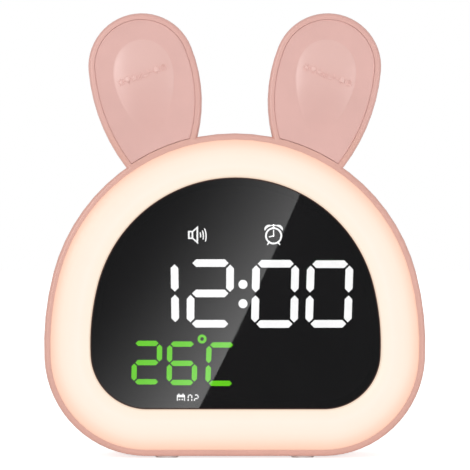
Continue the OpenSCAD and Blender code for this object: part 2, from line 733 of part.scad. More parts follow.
// The figures end inside the display housing's edge
module in_display() {
    intersection() {
        union() children();
        body_area(module_edge + bar_margin);
    }
}
module light_bars() { between(module_front, module_front + segment_t) in_display() children(); }
module time_segments() color("white") light_bars() time_area();
module temperature_segments() color([0.5, 0.87, 0.24]) light_bars() {
    temperature_area();
    degree_area();
}
module status_icons() color("white") light_bars() icons_area();
module unlit_segments() color([0.2, 0.2, 0.2]) light_bars() {
    time_area(1);
    temperature_area(1);
}
module display_housing() color([0.08, 0.08, 0.08]) difference() {
    between(module_front, board_front) body_area(module_edge);
    between(module_front - past, board_front + past) in_display() {
        time_area();
        time_area(1);
        temperature_area();
        temperature_area(1);
    }
    between(module_front - past, module_front + segment_t) in_display() {
        degree_area();
        icons_area();
    }
}
module display_board() color(board_green) difference() {
    between(board_front, board_back) body_area(board_edge);
    both_sides() for (a = board_screw_headings)
        rod(edge_point(a, board_screw_inset), board_hole_r, board_front - past, board_back + past);
}
// A small lamp on the board behind each bar and each picture
module display_leds() color([1, 1, 0.85]) {
    chip = 1.2;
    chip_t = 0.6;
    spots = concat(
        [for (f = time_figures, b = bar_places(digit_w, digit_h, digit_bar)) f[1] + slanted(b[0])],
        [for (f = temp_figures, b = bar_places(temp_w, temp_h, temp_bar)) f[1] + slanted(b[0])],
        [for (side = [-1, 1]) time_mid + [0, side * colon_rise]]);
    for (p = spots) block(p, [chip, chip], board_front - chip_t, board_front);
}
// A screw along Y with its head at the back: seat is where the head sits, tip where the thread ends
module screw(p, r, head_r, head_t, tip, seat) {
    rod(p, r, tip, seat + merge);
    difference() {
        rod(p, head_r, seat, seat + head_t);
        for (turn = [0, 90]) translate([p[0], seat + head_t, p[1]]) rotate([0, turn, 0])
            cube([head_r * 1.1, head_t, head_r * 0.3], center = true);
    }
}
module display_board_screws() color("silver") both_sides() for (a = board_screw_headings)
    screw(edge_point(a, board_screw_inset), small_screw_r, small_head_r, small_head_t,
        bulkhead_front + 0.2, board_back);

// ---- Ear keys ----
// The pad is egg-shaped: its middle lies below the ear tip's and to the outer side, and it turns inwards
pad_drop = 7.7;
pad_off = 1.3;
pad_turn = 12.5;
pad_half_l = 17.6;
pad_foot_less = 1;
pad_foot_share = 0.35;
// Point of the pad's long axis, so far above its middle
function pad_place(up) = ear_place(ear_axis_r - pad_drop, pad_off) + up * heading(ear_lean - pad_turn);
// A low round dome on the key's face, r wide and rise high
module dome(p, r, rise) {
    steps = 6;
    translate([p[0], key_front + merge, p[1]]) rotate([90, 0, 0]) rotate_extrude($fn = 40)
        polygon(concat([[0, 0]], [for (i = [0:steps]) let (a = 90 * i / steps)
            [r * cos(a), merge + rise * sin(a)]]));
}
module ear_key() {
    between(key_front, key_back) difference() {
        ear_area(wall + key_gap);
        body_area(-key_gap);
    }
    top_r = ear_tip_r - pad_border;
    foot_end_r = top_r - pad_foot_less;
    hull() {
        dome(pad_place(pad_half_l - top_r), top_r, pad_rise);
        dome(pad_place(foot_end_r - pad_half_l), foot_end_r, pad_rise * pad_foot_share);
    }
    for (p = pin_places) {
        rod(p, pin_r, key_back - merge, ear_floor_back + pin_gap_y + pin_head_t);
        rod(p, pin_head_r, ear_floor_back + pin_gap_y, ear_floor_back + pin_gap_y + pin_head_t);
    }
}
module ear_plunger() { rod(ear_place(ear_switch_r, 0), plunger_r, key_back, ear_floor_back + plunger_in); }
// A push switch at place p whose open end is at y0; its plunger enters by plunger_in
module push_switch(p, y0) {
    difference() {
        block(p, [switch_side, switch_side], y0, y0 + switch_t);
        rod(p, plunger_r + plunger_gap, y0 - past, y0 + plunger_in + key_travel + 0.4);
    }
}
module ear_board() {
    place = ear_place(ear_switch_r, 0);
    difference() {
        translate([place[0], ear_board_front, place[1]]) rotate([0, ear_lean, 0])
            translate([-ear_board_size[0] / 2, 0, -ear_board_size[1] / 2])
                cube([ear_board_size[0], ear_board_t, ear_board_size[1]]);
        for (off = [-ear_post_off, ear_post_off])
            rod(ear_place(ear_switch_r, off), board_hole_r, ear_board_front - past, ear_board_back + past);
    }
}
module ear_key_right() color(key_pink) ear_key();
module ear_key_left() color(key_pink) mirror([1, 0, 0]) ear_key();
module ear_plunger_right() color([0.2, 0.2, 0.2]) ear_plunger();
module ear_plunger_left() color([0.2, 0.2, 0.2]) mirror([1, 0, 0]) ear_plunger();
module ear_switch_right() color("dimgray") push_switch(ear_place(ear_switch_r, 0), ear_floor_back);
module ear_switch_left() color("dimgray") push_switch(flip(ear_place(ear_switch_r, 0)), ear_floor_back);
module ear_board_right() color(board_green) ear_board();
module ear_board_left() color(board_green) mirror([1, 0, 0]) ear_board();
module ear_board_screws() color("silver") both_sides() for (off = [-ear_post_off, ear_post_off])
    screw(ear_place(ear_switch_r, off), small_screw_r, small_head_r, small_head_t,
        ear_floor_back + 0.6, ear_board_back);

// ---- Main board ----
reset_top_y = main_board_back + 2.5;
plug_size = [6, 4];
plug_t = 5;
battery_plug = [-26, panel_mid_z - 13];
speaker_plug = [-14, panel_mid_z - 13];
ear_plug = [30, panel_mid_z + 15];
ribbon_socket = [14, 4];
main_ribbon_end = [4, panel_mid_z + 15];
display_ribbon_end = [4, time_mid[1] + 16];
module main_board() color(board_green) difference() {
    block([0, panel_mid_z], main_board_size, main_board_front, main_board_back);
    for (p = main_post_places) rod(p, board_hole_r, main_board_front - past, main_board_back + past);
}
module board_components() color([0.15, 0.15, 0.15]) {
    block([-10, panel_mid_z + 2], [10, 10], main_board_front - 1.2, main_board_front);
    block([14, panel_mid_z + 6], [6, 5], main_board_front - 1, main_board_front);
    block([6, panel_mid_z - 9], [5, 3.2], main_board_front - 0.9, main_board_front);
    rod([24, panel_mid_z - 6], 4, main_board_front - 7, main_board_front);
    rod([-26, panel_mid_z + 6], 5.5, main_board_front - 3.2, main_board_front);
    for (p = [battery_plug, speaker_plug, ear_plug, flip(ear_plug)])
        block(p, plug_size, main_board_front - plug_t, main_board_front);
    block(main_ribbon_end, ribbon_socket, main_board_front - 2, main_board_front);
    block(display_ribbon_end, ribbon_socket, board_back, board_back + 2);
    block([0, time_mid[1]], [13, 13], board_back, board_back + 1.4);
    block([22, time_mid[1] - 4], [6, 9], board_back, board_back + 1.2);
}
module main_board_screws() color("silver") mirror([0, 1, 0]) for (p = main_post_places)
    screw(p, small_screw_r, small_head_r, small_head_t, -panel_inner_y + 1.6, -main_board_front);
module button_switches() color("dimgray") {
    for (x = button_xs) mirror([0, 1, 0]) push_switch([x, button_row_z], -main_board_back - switch_t);
    block([reset_x, socket_row_z], [4, 4], main_board_back, reset_top_y);
    rod([reset_x, socket_row_z], 1, reset_top_y - merge, reset_top_y + 0.8);
}

// ---- Rear buttons ----
module button(x) color(key_pink) {
    pill([x, button_row_z], button_l + 2 * flange_w, button_h + 2 * flange_w, flange_front, flange_back);
    pill([x, button_row_z], button_l, button_h, flange_back - merge, panel_y + button_proud);
    rod([x, button_row_z], plunger_r + 1, plunger_top_y, flange_front + merge);
}
module plunger(x) color([0.2, 0.2, 0.2])
    rod([x, button_row_z], plunger_r, main_board_back + switch_t - plunger_in, plunger_top_y);
module mode_button() { button(button_xs[0]); }
module alarm_button() { button(button_xs[1]); }
module up_button() { button(button_xs[2]); }
module down_button() { button(button_xs[3]); }
module mode_plunger() { plunger(button_xs[0]); }
module alarm_plunger() { plunger(button_xs[1]); }
module up_plunger() { plunger(button_xs[2]); }
module down_plunger() { plunger(button_xs[3]); }

// ---- Sockets, battery switch and sensor ----
usb_floor = 2.5;
switch_back = main_board_back + switch_box[2];
module battery_switch() color("silver") difference() {
    block([switch_x, socket_row_z], [switch_box[0], switch_box[1]], main_board_back, switch_back);
    block([switch_x, socket_row_z], [knob_w + switch_travel + 2 * slot_gap, knob_h + 2 * slot_gap],
        switch_back - 1.6, switch_back + past);
}
module battery_switch_knob() color([0.12, 0.12, 0.12])
    block([switch_x - switch_travel / 2, socket_row_z], [knob_w, knob_h], switch_back - 1.3, panel_y + 0.6);
module usb_socket() color("silver") difference() {
    pill([usb_x, socket_row_z], usb_w, usb_h, main_board_back, panel_y - 0.2);
    pill([usb_x, socket_row_z], usb_w - 2 * usb_wall, usb_h - 2 * usb_wall,
        main_board_back + usb_floor, panel_y + past);
}
module usb_tongue() color([0.1, 0.1, 0.1])
    block([usb_x, socket_row_z], [6.4, 0.8], main_board_back + usb_floor, panel_y - 1.2);
module temperature_sensor() color([0.25, 0.2, 0.15]) {
    for (side = [-1, 1])
        rod([sensor_x + side * 0.9, socket_row_z], 0.3, main_board_back, panel_inner_y - 1.6);
    translate([sensor_x, panel_inner_y - 1.8, socket_row_z]) sphere(r = 1.5);
}

// ---- Battery ----
module along_x(r, x0, x1) {
    translate([x0, cell_mid[0], cell_mid[1]]) rotate([0, 90, 0]) cylinder(r = r, h = x1 - x0);
}
module battery_cell() color([0.2, 0.45, 0.75]) {
    along_x(cell_r, -cell_l / 2, cell_l / 2 - 1);
    along_x(cell_r * 0.35, cell_l / 2 - 1 - merge, cell_l / 2);
}
contact_gap = 1;
module cradle_tray() difference() {
    half = cell_l / 2 + contact_gap + cradle_wall;
    depth_half = cell_r + cell_gap + cradle_wall;
    translate([-half, cell_mid[0] - depth_half, floor_z + cradle_rib])
        cube([2 * half, 2 * depth_half, cell_mid[1] - floor_z - cradle_rib]);
    along_x(cell_r + cell_gap, -cell_l / 2 - contact_gap, cell_l / 2 + contact_gap);
}
module battery_cradle() color([0.1, 0.1, 0.1]) {
    cradle_tray();
    for (side = [-1, 1]) translate([side * cradle_rib_x - 1, cell_mid[0] - cell_r + 2, floor_z])
        cube([2, 2 * cell_r - 4, cradle_rib + merge]);
}

// ---- Loudspeaker ----
// A turned shape behind depth y, round the speaker's axis; its profile is in [radius, depth behind y]
module turned(y, profile) {
    translate([0, y, speaker_z]) rotate([-90, 0, 0]) rotate_extrude() polygon(profile);
}
basket_depth = speaker_depth - magnet_t;
module speaker_basket() color([0.25, 0.25, 0.27]) turned(speaker_front + magnet_t, [
    [0, 0], [magnet_r + 1, 0], [speaker_r - 2, basket_depth - flange_plate_t],
    [speaker_r, basket_depth - flange_plate_t], [speaker_r, basket_depth], [speaker_r - 3, basket_depth],
    [speaker_r - 3, basket_depth - 0.8], [speaker_r - 3.6, basket_depth - 0.8], [magnet_r, 1], [0, 1]]);
module speaker_magnet() color("gray")
    turned(speaker_front, [[0, 0], [magnet_r, 0], [magnet_r, magnet_t], [0, magnet_t]]);
cone_y = basket_back - 0.8;
module speaker_cone() color([0.1, 0.1, 0.1]) turned(cone_y - 5, [
    [0, 1], [4, 1.2], [4, 0.4], [speaker_r - 6, 4.4], [speaker_r - 5, 5.3], [speaker_r - 4, 5],
    [speaker_r - 3, 5], [speaker_r - 3, 5.3], [speaker_r - 4, 5.3], [speaker_r - 5, 5.6],
    [speaker_r - 6.2, 4.8], [4.2, 0.9], [4.2, 1.6], [0, 1.4]]);
module speaker_gasket() color([0.15, 0.15, 0.15]) turned(basket_back, [
    [speaker_r - gasket_w, 0], [speaker_r, 0], [speaker_r, gasket_t], [speaker_r - gasket_w, gasket_t]]);
module speaker_mesh() color([0.3, 0.3, 0.3])
    turned(gasket_back, [[0, 0], [speaker_r - 0.4, 0], [speaker_r - 0.4, mesh_t], [0, mesh_t]]);
module speaker_screws() color("silver") mirror([0, 1, 0]) for (p = speaker_post_places)
    screw(p, small_screw_r, small_head_r + 1, small_head_t, -back_y + 1.2, -basket_lip);

// ---- Leads between the parts, each swept along points chosen by hand ----
lead_r = 0.8;
function unit(v) = v / norm(v);
// Direction of travel at point i of a route
function travel(route, i) =
    unit(route[min(i + 1, len(route) - 1)] - route[max(i - 1, 0)]);
// A ring of eight points square to travel t; no route runs along the slanting direction [1, -1, 1]
function lead_ring(c, t) = let (u = unit(cross([1, -1, 1], t)), v = cross(t, u))
    [for (k = [0:7]) c + lead_r * (cos(45 * k) * u + sin(45 * k) * v)];
module lead(route) {
    skin([for (i = [0:len(route) - 1]) lead_ring(route[i], travel(route, i))], split = true);
}
// The last stretch of a route: straight back into the front of a plug on the main board
function into_plug(p) =
    [[p[0], main_board_front - plug_t - 3, p[1]], [p[0], main_board_front - plug_t, p[1]]];
module speaker_lead() color([0.75, 0.1, 0.1]) lead(concat(
    [[-11.7 - lead_r, 14, speaker_z - 4], [-13.4, 12, 77], [-14, 8, 73], [-14.3, 5, 64], [-14.2, 3, 50],
        [-14, 2.6, 40], [-14, 2.8, 35]],
    into_plug(speaker_plug)));
module battery_lead() color([0.15, 0.15, 0.15]) lead(concat(
    [[-cell_l / 2 - contact_gap - cradle_wall - lead_r, cell_mid[0], floor_z + 3], [-36, 0, 12], [-36, 0, 18],
        [-34.5, 0.4, 24], [-31, 1, 29], [-28, 2.2, 31]],
    into_plug(battery_plug)));
module ear_lead() {
    board_end = ear_place(ear_switch_r - 3, 0);
    hole = ear_place(body_top_r - wall / 2, 0);
    above = ear_place(body_top_r + 6, 0);
    below = ear_place(body_top_r - 8, 0);
    lead([[board_end[0], ear_board_back, board_end[1]], [board_end[0], ear_board_back + 1.6, board_end[1]],
        [above[0], part_y - 0.4, above[1]], [hole[0], part_y, hole[1]], [below[0], part_y + 2, below[1]],
        [23, -5, 101], [26, 0, 90], [29, 4, 78], [ear_plug[0], 6, 67], [ear_plug[0], 5, 62],
        [ear_plug[0], main_board_front - plug_t - 1.5, ear_plug[1]],
        [ear_plug[0], main_board_front - plug_t, ear_plug[1]]]);
}
module ear_lead_right() color([0.9, 0.9, 0.9]) ear_lead();
module ear_lead_left() color([0.9, 0.9, 0.9]) mirror([1, 0, 0]) ear_lead();
// A flat ribbon between the two boards; its route is drawn in Y and Z
module display_ribbon() color([0.85, 0.8, 0.7]) {
    t = 0.3;
    route = [[board_back + 2, display_ribbon_end[1]], [board_back + 3, display_ribbon_end[1]],
        [board_back + 5.5, display_ribbon_end[1] - 0.8], [-3, 72], [3, 66],
        [main_board_front - 5.5, main_ribbon_end[1] + 0.8], [main_board_front - 3, main_ribbon_end[1]],
        [main_board_front - 2, main_ribbon_end[1]]];
    sides = [for (s = [-t / 2, t / 2]) [for (i = [0:len(route) - 1])
        let (d = i == 0 || i == len(route) - 1 ? [1, 0] : travel(route, i)) route[i] + s * [-d[1], d[0]]]];
    translate([display_ribbon_end[0] - 6, 0, 0]) rotate([90, 0, 90]) linear_extrude(12)
        polygon(concat(sides[0], [for (i = [len(route) - 1:-1:0]) sides[1][i]]));
}

// ---- Housing screws and feet ----
module housing_screws() color([0.3, 0.3, 0.32]) both_sides() {
    for (a = screw_headings)
        screw(edge_point(a, boss_inset), screw_r, screw_head_r, screw_head_t,
            bulkhead_front + 0.6, screw_seat_y);
    screw(ear_place(ear_screw_r, 0), screw_r, screw_head_r, screw_head_t, ear_floor_back + 0.4, ear_seat_y);
}
module rubber_feet() color([0.2, 0.2, 0.2]) both_sides() for (y = [foot_front_y, foot_rear_y])
    translate([foot_x, y, 0]) rotate_extrude() polygon([
        [0, 0], [foot_r - foot_chamfer, 0], [foot_r, foot_chamfer], [foot_r, foot_t], [0, foot_t]]);

front_frame();
rear_housing();
light_diffuser();
light_reflector();
led_ring_board();
ring_leds();
display_lens();
lens_adhesive();
display_housing();
time_segments();
temperature_segments();
status_icons();
unlit_segments();
display_board();
display_leds();
display_board_screws();
ear_key_left();
ear_key_right();
ear_plunger_left();
ear_plunger_right();
ear_switch_left();
ear_switch_right();
ear_board_left();
ear_board_right();
ear_board_screws();
main_board();
board_components();
main_board_screws();
button_switches();
mode_button();
alarm_button();
up_button();
down_button();
mode_plunger();
alarm_plunger();
up_plunger();
down_plunger();
battery_switch();
battery_switch_knob();
usb_socket();
usb_tongue();
temperature_sensor();
battery_cell();
battery_cradle();
speaker_basket();
speaker_cone();
speaker_magnet();
speaker_gasket();
speaker_mesh();
speaker_screws();
speaker_lead();
battery_lead();
ear_lead_left();
ear_lead_right();
display_ribbon();
housing_screws();
rubber_feet();
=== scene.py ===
"""Dresses a bedside alarm clock with a night light, shaped like a rabbit's head with two ears.

Sizes are in millimetres, as on the maker's drawing, and become metres where a mesh is made. X is to the
right seen from the front, Y is towards the back and Z is up. Each sub-assembly is a class that builds its
own pieces, and each finish is a class that makes one material.
"""
import logging
import math
from collections.abc import Callable, Iterable, Sequence
from dataclasses import dataclass, field, replace
from enum import Enum
from functools import cached_property
from typing import ClassVar

import bmesh
import bpy
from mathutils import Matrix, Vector


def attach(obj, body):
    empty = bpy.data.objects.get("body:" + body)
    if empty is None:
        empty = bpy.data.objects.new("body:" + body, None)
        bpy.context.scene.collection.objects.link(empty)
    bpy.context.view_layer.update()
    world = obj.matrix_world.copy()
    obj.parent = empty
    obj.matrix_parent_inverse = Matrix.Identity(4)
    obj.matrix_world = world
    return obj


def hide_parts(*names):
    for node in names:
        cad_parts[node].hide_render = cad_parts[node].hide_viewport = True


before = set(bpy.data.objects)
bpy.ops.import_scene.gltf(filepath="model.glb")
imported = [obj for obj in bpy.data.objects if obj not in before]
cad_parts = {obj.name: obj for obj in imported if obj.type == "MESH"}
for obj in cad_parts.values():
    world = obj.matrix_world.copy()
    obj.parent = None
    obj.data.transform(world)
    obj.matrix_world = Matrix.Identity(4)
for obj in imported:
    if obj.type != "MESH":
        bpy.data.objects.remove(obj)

LOG = logging.getLogger("alarm_clock")
MM = 0.001

Pair = tuple[float, float]
Point = tuple[float, float]
Spot = tuple[float, float, float]
Rgb = tuple[float, float, float]
Colour = tuple[float, float, float, float]
Socket = bpy.types.NodeSocket
Source = Socket | float | tuple

# Nearly all values of cloudy noise lie between these two
NOISE_LOW, NOISE_HIGH = 0.3, 0.7
# The glow ring's mesh holds 0 on its unlit sides, and from this number up to 1 across its lit face
LIT_FROM = 0.05
# Metres between points that are one, in a piece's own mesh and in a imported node
SAME_POINT, SAME_SEAM = 1e-7, 1e-6
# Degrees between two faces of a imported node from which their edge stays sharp
NODE_CREASE = 30
# How far the lens sits to the right and up from the body's own middle
LENS_SHIFT: Point = (0.3, 0.5)
# Thickness of the raised plates, and the usual radius of their edges
PLATE_THICK, PLATE_EDGE = 0.5, 0.05
# The most of a side that the curve at one of its corners takes up
LONGEST_CURVE = 0.45


class Body(Enum):
    """The moving bodies that a piece can ride on."""

    CLOCK = "clock"
    LEFT_KEY = "left_key"
    RIGHT_KEY = "right_key"
    MODE_KEY = "mode_key"
    ALARM_KEY = "alarm_key"
    UP_KEY = "up_key"
    DOWN_KEY = "down_key"


class Facing(Enum):
    """The side that a face shows to, as its direction against Y."""

    FRONT = 1
    BACK = -1


def display(red: float, green: float, blue: float) -> Colour:
    """Returns the linear values of a colour in display steps of 0 to 255, with an alpha of 1."""
    parts = [v / 255 for v in (red, green, blue)]
    return (*[v / 12.92 if v <= 0.04045 else ((v + 0.055) / 1.055) ** 2.4 for v in parts], 1.0)


def shaded(colour: Sequence[float], share: float, added: float = 0.0) -> Colour:
    """Returns a linear colour made lighter or darker, with an alpha of 1."""
    return (*[min(1.0, v * share + added) for v in colour[:3]], 1.0)


def lit_number(share: float) -> float:
    """Returns what the glow ring's mesh holds at a share of the way across its lit face."""
    return LIT_FROM + (1 - LIT_FROM) * share


# ---------------------------------------------------------------------------------------------- materials


class Recipe:
    """The node tree of one material or of the world, with short calls to add and join its nodes."""

    def __init__(self, name: str, world: bool = False) -> None:
        """Starts an empty tree with its output.

        Args:
            name: Name of what the tree belongs to.
            world: Whether that is a world; if not, it is a material.
        """
        self.owner = (bpy.data.worlds if world else bpy.data.materials).new(name)
        self.owner.use_nodes = True
        self.tree = self.owner.node_tree
        self.tree.nodes.clear()
        self.output = self.node("OutputWorld" if world else "OutputMaterial")

    def node(self, kind: str, feeds: dict[str | int, Source] | None = None,
             **settings: object) -> bpy.types.Node:
        """Adds a node.

        Args:
            kind: Type name of the node without its first part.
            feeds: What its inputs, by name or number, are linked to or set to.
            settings: Values of the node's own properties.

        Returns:
            The new node.
        """
        made = self.tree.nodes.new("ShaderNode" + kind)
        for key, value in settings.items():
            setattr(made, key, value)
        for key, source in (feeds or {}).items():
            if isinstance(source, bpy.types.NodeSocket):
                self.tree.links.new(source, made.inputs[key])
            else:
                made.inputs[key].default_value = source
        return made

    @cached_property
    def place(self) -> Socket:
        """The piece's own coordinates."""
        return self.node("TexCoord").outputs["Object"]

    def stretched(self, x: float, y: float, z: float) -> Socket:
        """Returns the piece's coordinates multiplied by a number along each axis."""
        return self.node("Mapping", {"Vector": self.place, "Scale": (x, y, z)}).outputs[0]

    def axis(self, name: str) -> Socket:
        """Returns the X, Y or Z coordinate of the piece, in metres."""
        return self.node("SeparateXYZ", {0: self.place}).outputs[name]

    def noise(self, scale: float, detail: float = 3.0, place: Socket | None = None) -> Socket:
        """Returns cloudy noise with scale blotches a metre and detail finer layers, 0.5 on average."""
        feeds = {"Vector": place or self.place, "Scale": scale, "Detail": detail}
        return self.node("TexNoise", feeds).outputs[0]

    def cells(self, scale: float, distance: str = "EUCLIDEAN") -> Socket:
        """Returns the distance to the middle of the nearest of scale cells a metre."""
        return self.node("TexVoronoi", {"Vector": self.place, "Scale": scale},
                         distance=distance).outputs["Distance"]

    def spread(self, value: Source, low: float, high: float, to_low: float = 0.0,
               to_high: float = 1.0) -> Socket:
        """Maps the values from low to high to those from to_low to to_high, and holds the ends."""
        feeds = dict(enumerate((value, low, high, to_low, to_high)))
        return self.node("MapRange", feeds, clamp=True).outputs[0]

    def uneven(self, noise: Socket, to_low: float = 0.0, to_high: float = 1.0) -> Socket:
        """Maps the usual values of noise to those from to_low to to_high."""
        return self.spread(noise, NOISE_LOW, NOISE_HIGH, to_low, to_high)

    def calc(self, kind: str, first: Source, second: Source = 0.0) -> Socket:
        """Returns a calculation with one or two values, such as ADD, MAXIMUM or SINE."""
        return self.node("Math", {0: first, 1: second}, operation=kind).outputs[0]

    def times(self, first: Source, second: Source) -> Socket:
        """Returns the product of two values."""
        return self.calc("MULTIPLY", first, second)

    def wave(self, axis: str, turns: float) -> Socket:
        """Returns a sine wave along an axis, with turns radians a metre."""
        return self.calc("SINE", self.times(self.axis(axis), turns))

    def blend(self, share: Source, first: Source, second: Source) -> Socket:
        """Returns the first colour with a share of 0 to 1 of the second one mixed in."""
        return self.node("Mix", {0: share, 6: first, 7: second}, data_type="RGBA").outputs[2]

    def ramp(self, value: Source, stops: Sequence[tuple[float, Colour]]) -> Socket:
        """Turns a value into a colour that changes from stop to stop.

        Args:
            value: Value from 0 to 1.
            stops: Places and their linear colours.

        Returns:
            The colour.
        """
        made = self.node("ValToRGB", {0: value})
        elements = made.color_ramp.elements
        while len(elements) < len(stops):
            elements.new(0.5)
        for element, (where, colour) in zip(elements, stops):
            element.position = where
            element.color = colour
        return made.outputs[0]

    def bump(self, height: Source, depth: float, strength: float) -> Socket:
        """Returns the normal of a relief that is depth millimetres deep, of which a share shows."""
        feeds = {"Height": height, "Distance": depth * MM, "Strength": strength}
        return self.node("Bump", feeds).outputs[0]

    def end(self, last: bpy.types.Node) -> bpy.types.Material | bpy.types.World:
        """Joins the last node to the output and returns what the tree belongs to."""
        self.tree.links.new(last.outputs[0], self.output.inputs["Surface"])
        return self.owner

    def finish(self, feeds: dict[str, Source]) -> bpy.types.Material:
        """Ends the tree in one main shader with these feeds and returns the material."""
        return self.end(self.node("BsdfPrincipled", feeds))


@dataclass(frozen=True)
class MouldedPlastic:
    """Injection-moulded plastic with a fine spark-eroded grain and slightly uneven colour.

    Where parting is set, a hairline joint runs round at that depth. Where a top colour is set, the colour
    changes to it between two heights: painted light, a colour that stands in for how light falls higher up.
    """

    name: str
    colour: Rgb
    roughness: float = 0.42
    grain: float = 0.35
    relief: float = 0.012
    drift: float = 0.025
    parting: float | None = None
    polish: float = 0.0
    # Painted light: the colour that the plastic turns to higher up, and the heights over which it turns
    painted_top_colour: Rgb | None = None
    painted_top_heights: Pair = (116.0, 124.0)
    rough_drift: ClassVar[float] = 0.015
    joint_half: ClassVar[Pair] = (0.06, 0.17)
    joint_share: ClassVar[float] = 0.45
    joint_colour: ClassVar[Colour] = (0.16, 0.08, 0.07, 1)

    def material(self) -> bpy.types.Material:
        """Makes the material.

        Returns:
            The material.
        """
        recipe = Recipe(self.name)
        base = display(*self.colour)
        colour = recipe.blend(recipe.spread(recipe.noise(55, 4), 0.35, 0.65),
                              shaded(base, 1 - self.drift), shaded(base, 1 + self.drift))
        # Painted light: the colour turns between two heights, standing in for light that falls differently
        # higher up
        if self.painted_top_colour is not None:
            low, high = self.painted_top_heights
            colour = recipe.blend(recipe.spread(recipe.axis("Z"), low * MM, high * MM), colour,
                                  display(*self.painted_top_colour))
        if self.parting is not None:
            near, far = self.joint_half
            away = recipe.calc("ABSOLUTE", recipe.calc("SUBTRACT", recipe.axis("Y"), self.parting * MM))
            line = recipe.spread(away, near * MM, far * MM, 1, 0)
            colour = recipe.blend(recipe.times(line, self.joint_share), colour, self.joint_colour)
        low, high = self.roughness - self.rough_drift, self.roughness + self.rough_drift
        grain = recipe.noise(1 / (self.grain * MM), 2)
        return recipe.finish({
            "Base Color": colour, "Roughness": recipe.uneven(recipe.noise(420, 2), low, high),
            "Normal": recipe.bump(grain, self.relief, 0.5), "Coat Weight": self.polish,
            "Coat Roughness": 0.3})


@dataclass(frozen=True)
class MilkGlow:
    """Milky plastic lit from behind: warm at its edge and nearly white over the lamps."""

    name: str
    stops: tuple[tuple[float, Rgb], ...]
    start: float
    width: float
    daylight: Rgb = (0.30, 0.26, 0.22)
    lit: float = 0.93

    def material(self) -> bpy.types.Material:
        """Makes the material; a point's place across the ring comes from the mesh.

        Returns:
            The material.
        """
        recipe = Recipe(self.name)
        across = recipe.node("Attribute", attribute_name="across").outputs["Fac"]
        stops = [(0.0, (0.0, 0.0, 0.0, 1.0))]
        for inset, colour in self.stops:
            light = [max(0.0, v - b * self.lit) for v, b in zip(display(*colour), self.daylight)]
            stops.append((lit_number((inset - self.start) / self.width), (*light, 1.0)))
        mottle = recipe.noise(90)
        glow = recipe.blend(recipe.spread(mottle, 0.35, 0.65, 0.0, 0.03), recipe.ramp(across, stops),
                            display(255, 222, 190))
        base = recipe.blend(recipe.uneven(mottle), (*self.daylight, 1), shaded(self.daylight, 0.96))
        return recipe.finish({
            "Base Color": base, "Roughness": recipe.uneven(recipe.noise(500, 2), 0.3, 0.4),
            "Normal": recipe.bump(recipe.noise(1800, 2), 0.006, 0.4), "Emission Color": glow,
            "Emission Strength": 1.0, "Specular IOR Level": 0.3})


@dataclass(frozen=True)
class SmokedAcrylic:
    """Dark see-through acrylic with a polished face; the display's lit bars show through it."""

    name: str
    colour: Rgb = (0.0122, 0.0122, 0.0128)
    cover: float = 0.88

    def material(self) -> bpy.types.Material:
        """Makes the material.

        Returns:
            The material.
        """
        recipe = Recipe(self.name)
        base = recipe.blend(recipe.uneven(recipe.noise(35)), (*self.colour, 1), shaded(self.colour, 1.12))
        wipes = recipe.noise(240, 4, recipe.stretched(1, 1, 0.25))
        return recipe.finish({"Base Color": base, "Roughness": recipe.spread(wipes, 0.35, 0.7, 0.012, 0.03),
                              "Alpha": self.cover, "IOR": 1.49})


@dataclass(frozen=True)
class LitBar:
    """A diffusing bar with its lamp on behind it, a little uneven along the bar."""

    name: str
    colour: Colour
    strength: float

    def material(self) -> bpy.types.Material:
        """Makes the material.

        Returns:
            The material.
        """
        recipe = Recipe(self.name)
        light = recipe.blend(recipe.uneven(recipe.noise(260, 2)), self.colour, shaded(self.colour, 0.94))
        return recipe.finish({"Base Color": light, "Roughness": recipe.uneven(recipe.noise(900, 2), 0.4, 0.5),
                              "Emission Color": light, "Emission Strength": self.strength})


@dataclass(frozen=True)
class Laminate:
    """A circuit board: lacquer over copper tracks, which are straight lines between square fields."""

    name: str
    lacquer: Rgb
    track: Rgb

    def material(self) -> bpy.types.Material:
        """Makes the material.

        Returns:
            The material.
        """
        recipe = Recipe(self.name)
        lines = recipe.calc("SINE", recipe.times(recipe.cells(330, "CHEBYCHEV"), 26.0))
        track = recipe.spread(lines, 0.55, 0.75)
        lacquer = recipe.blend(recipe.noise(2400, 2), display(*self.lacquer),
                               display(*[v * 0.9 for v in self.lacquer]))
        return recipe.finish({
            "Base Color": recipe.blend(track, lacquer, display(*self.track)),
            "Roughness": recipe.spread(track, 0, 1, 0.38, 0.3), "Normal": recipe.bump(track, 0.03, 0.6),
            "Coat Weight": 0.3})


@dataclass(frozen=True)
class Metal:
    """Plated or turned metal with fine tool marks, drawn out along one direction."""

    name: str
    colour: Rgb
    roughness: float = 0.3
    rough_drift: ClassVar[float] = 0.08

    def material(self) -> bpy.types.Material:
        """Makes the material.

        Returns:
            The material.
        """
        recipe = Recipe(self.name)
        marks = recipe.noise(900, 3, recipe.stretched(0.08, 1, 1))
        base = display(*self.colour)
        low, high = self.roughness - self.rough_drift, self.roughness + self.rough_drift
        return recipe.finish({
            "Base Color": recipe.blend(marks, base, shaded(base, 0.82)),
            "Roughness": recipe.uneven(marks, low, high), "Normal": recipe.bump(marks, 0.01, 0.4),
            "Metallic": 1.0})


@dataclass(frozen=True)
class Rubber:
    """Matt soft rubber with a pitted skin, a little dusty."""

    name: str
    colour: Rgb
    roughness: float = 0.78
    most_dust: ClassVar[float] = 0.3

    def material(self) -> bpy.types.Material:
        """Makes the material.

        Returns:
            The material.
        """
        recipe = Recipe(self.name)
        dust = recipe.spread(recipe.noise(300, 4), 0.45, 0.75, 0, self.most_dust)
        base = display(*self.colour)
        return recipe.finish({
            "Base Color": recipe.blend(dust, base, shaded(base, 1.9, 0.01)),
            "Roughness": recipe.spread(dust, 0, self.most_dust, self.roughness - 0.08, self.roughness),
            "Normal": recipe.bump(recipe.cells(1500), 0.02, 0.5), "Specular IOR Level": 0.35})


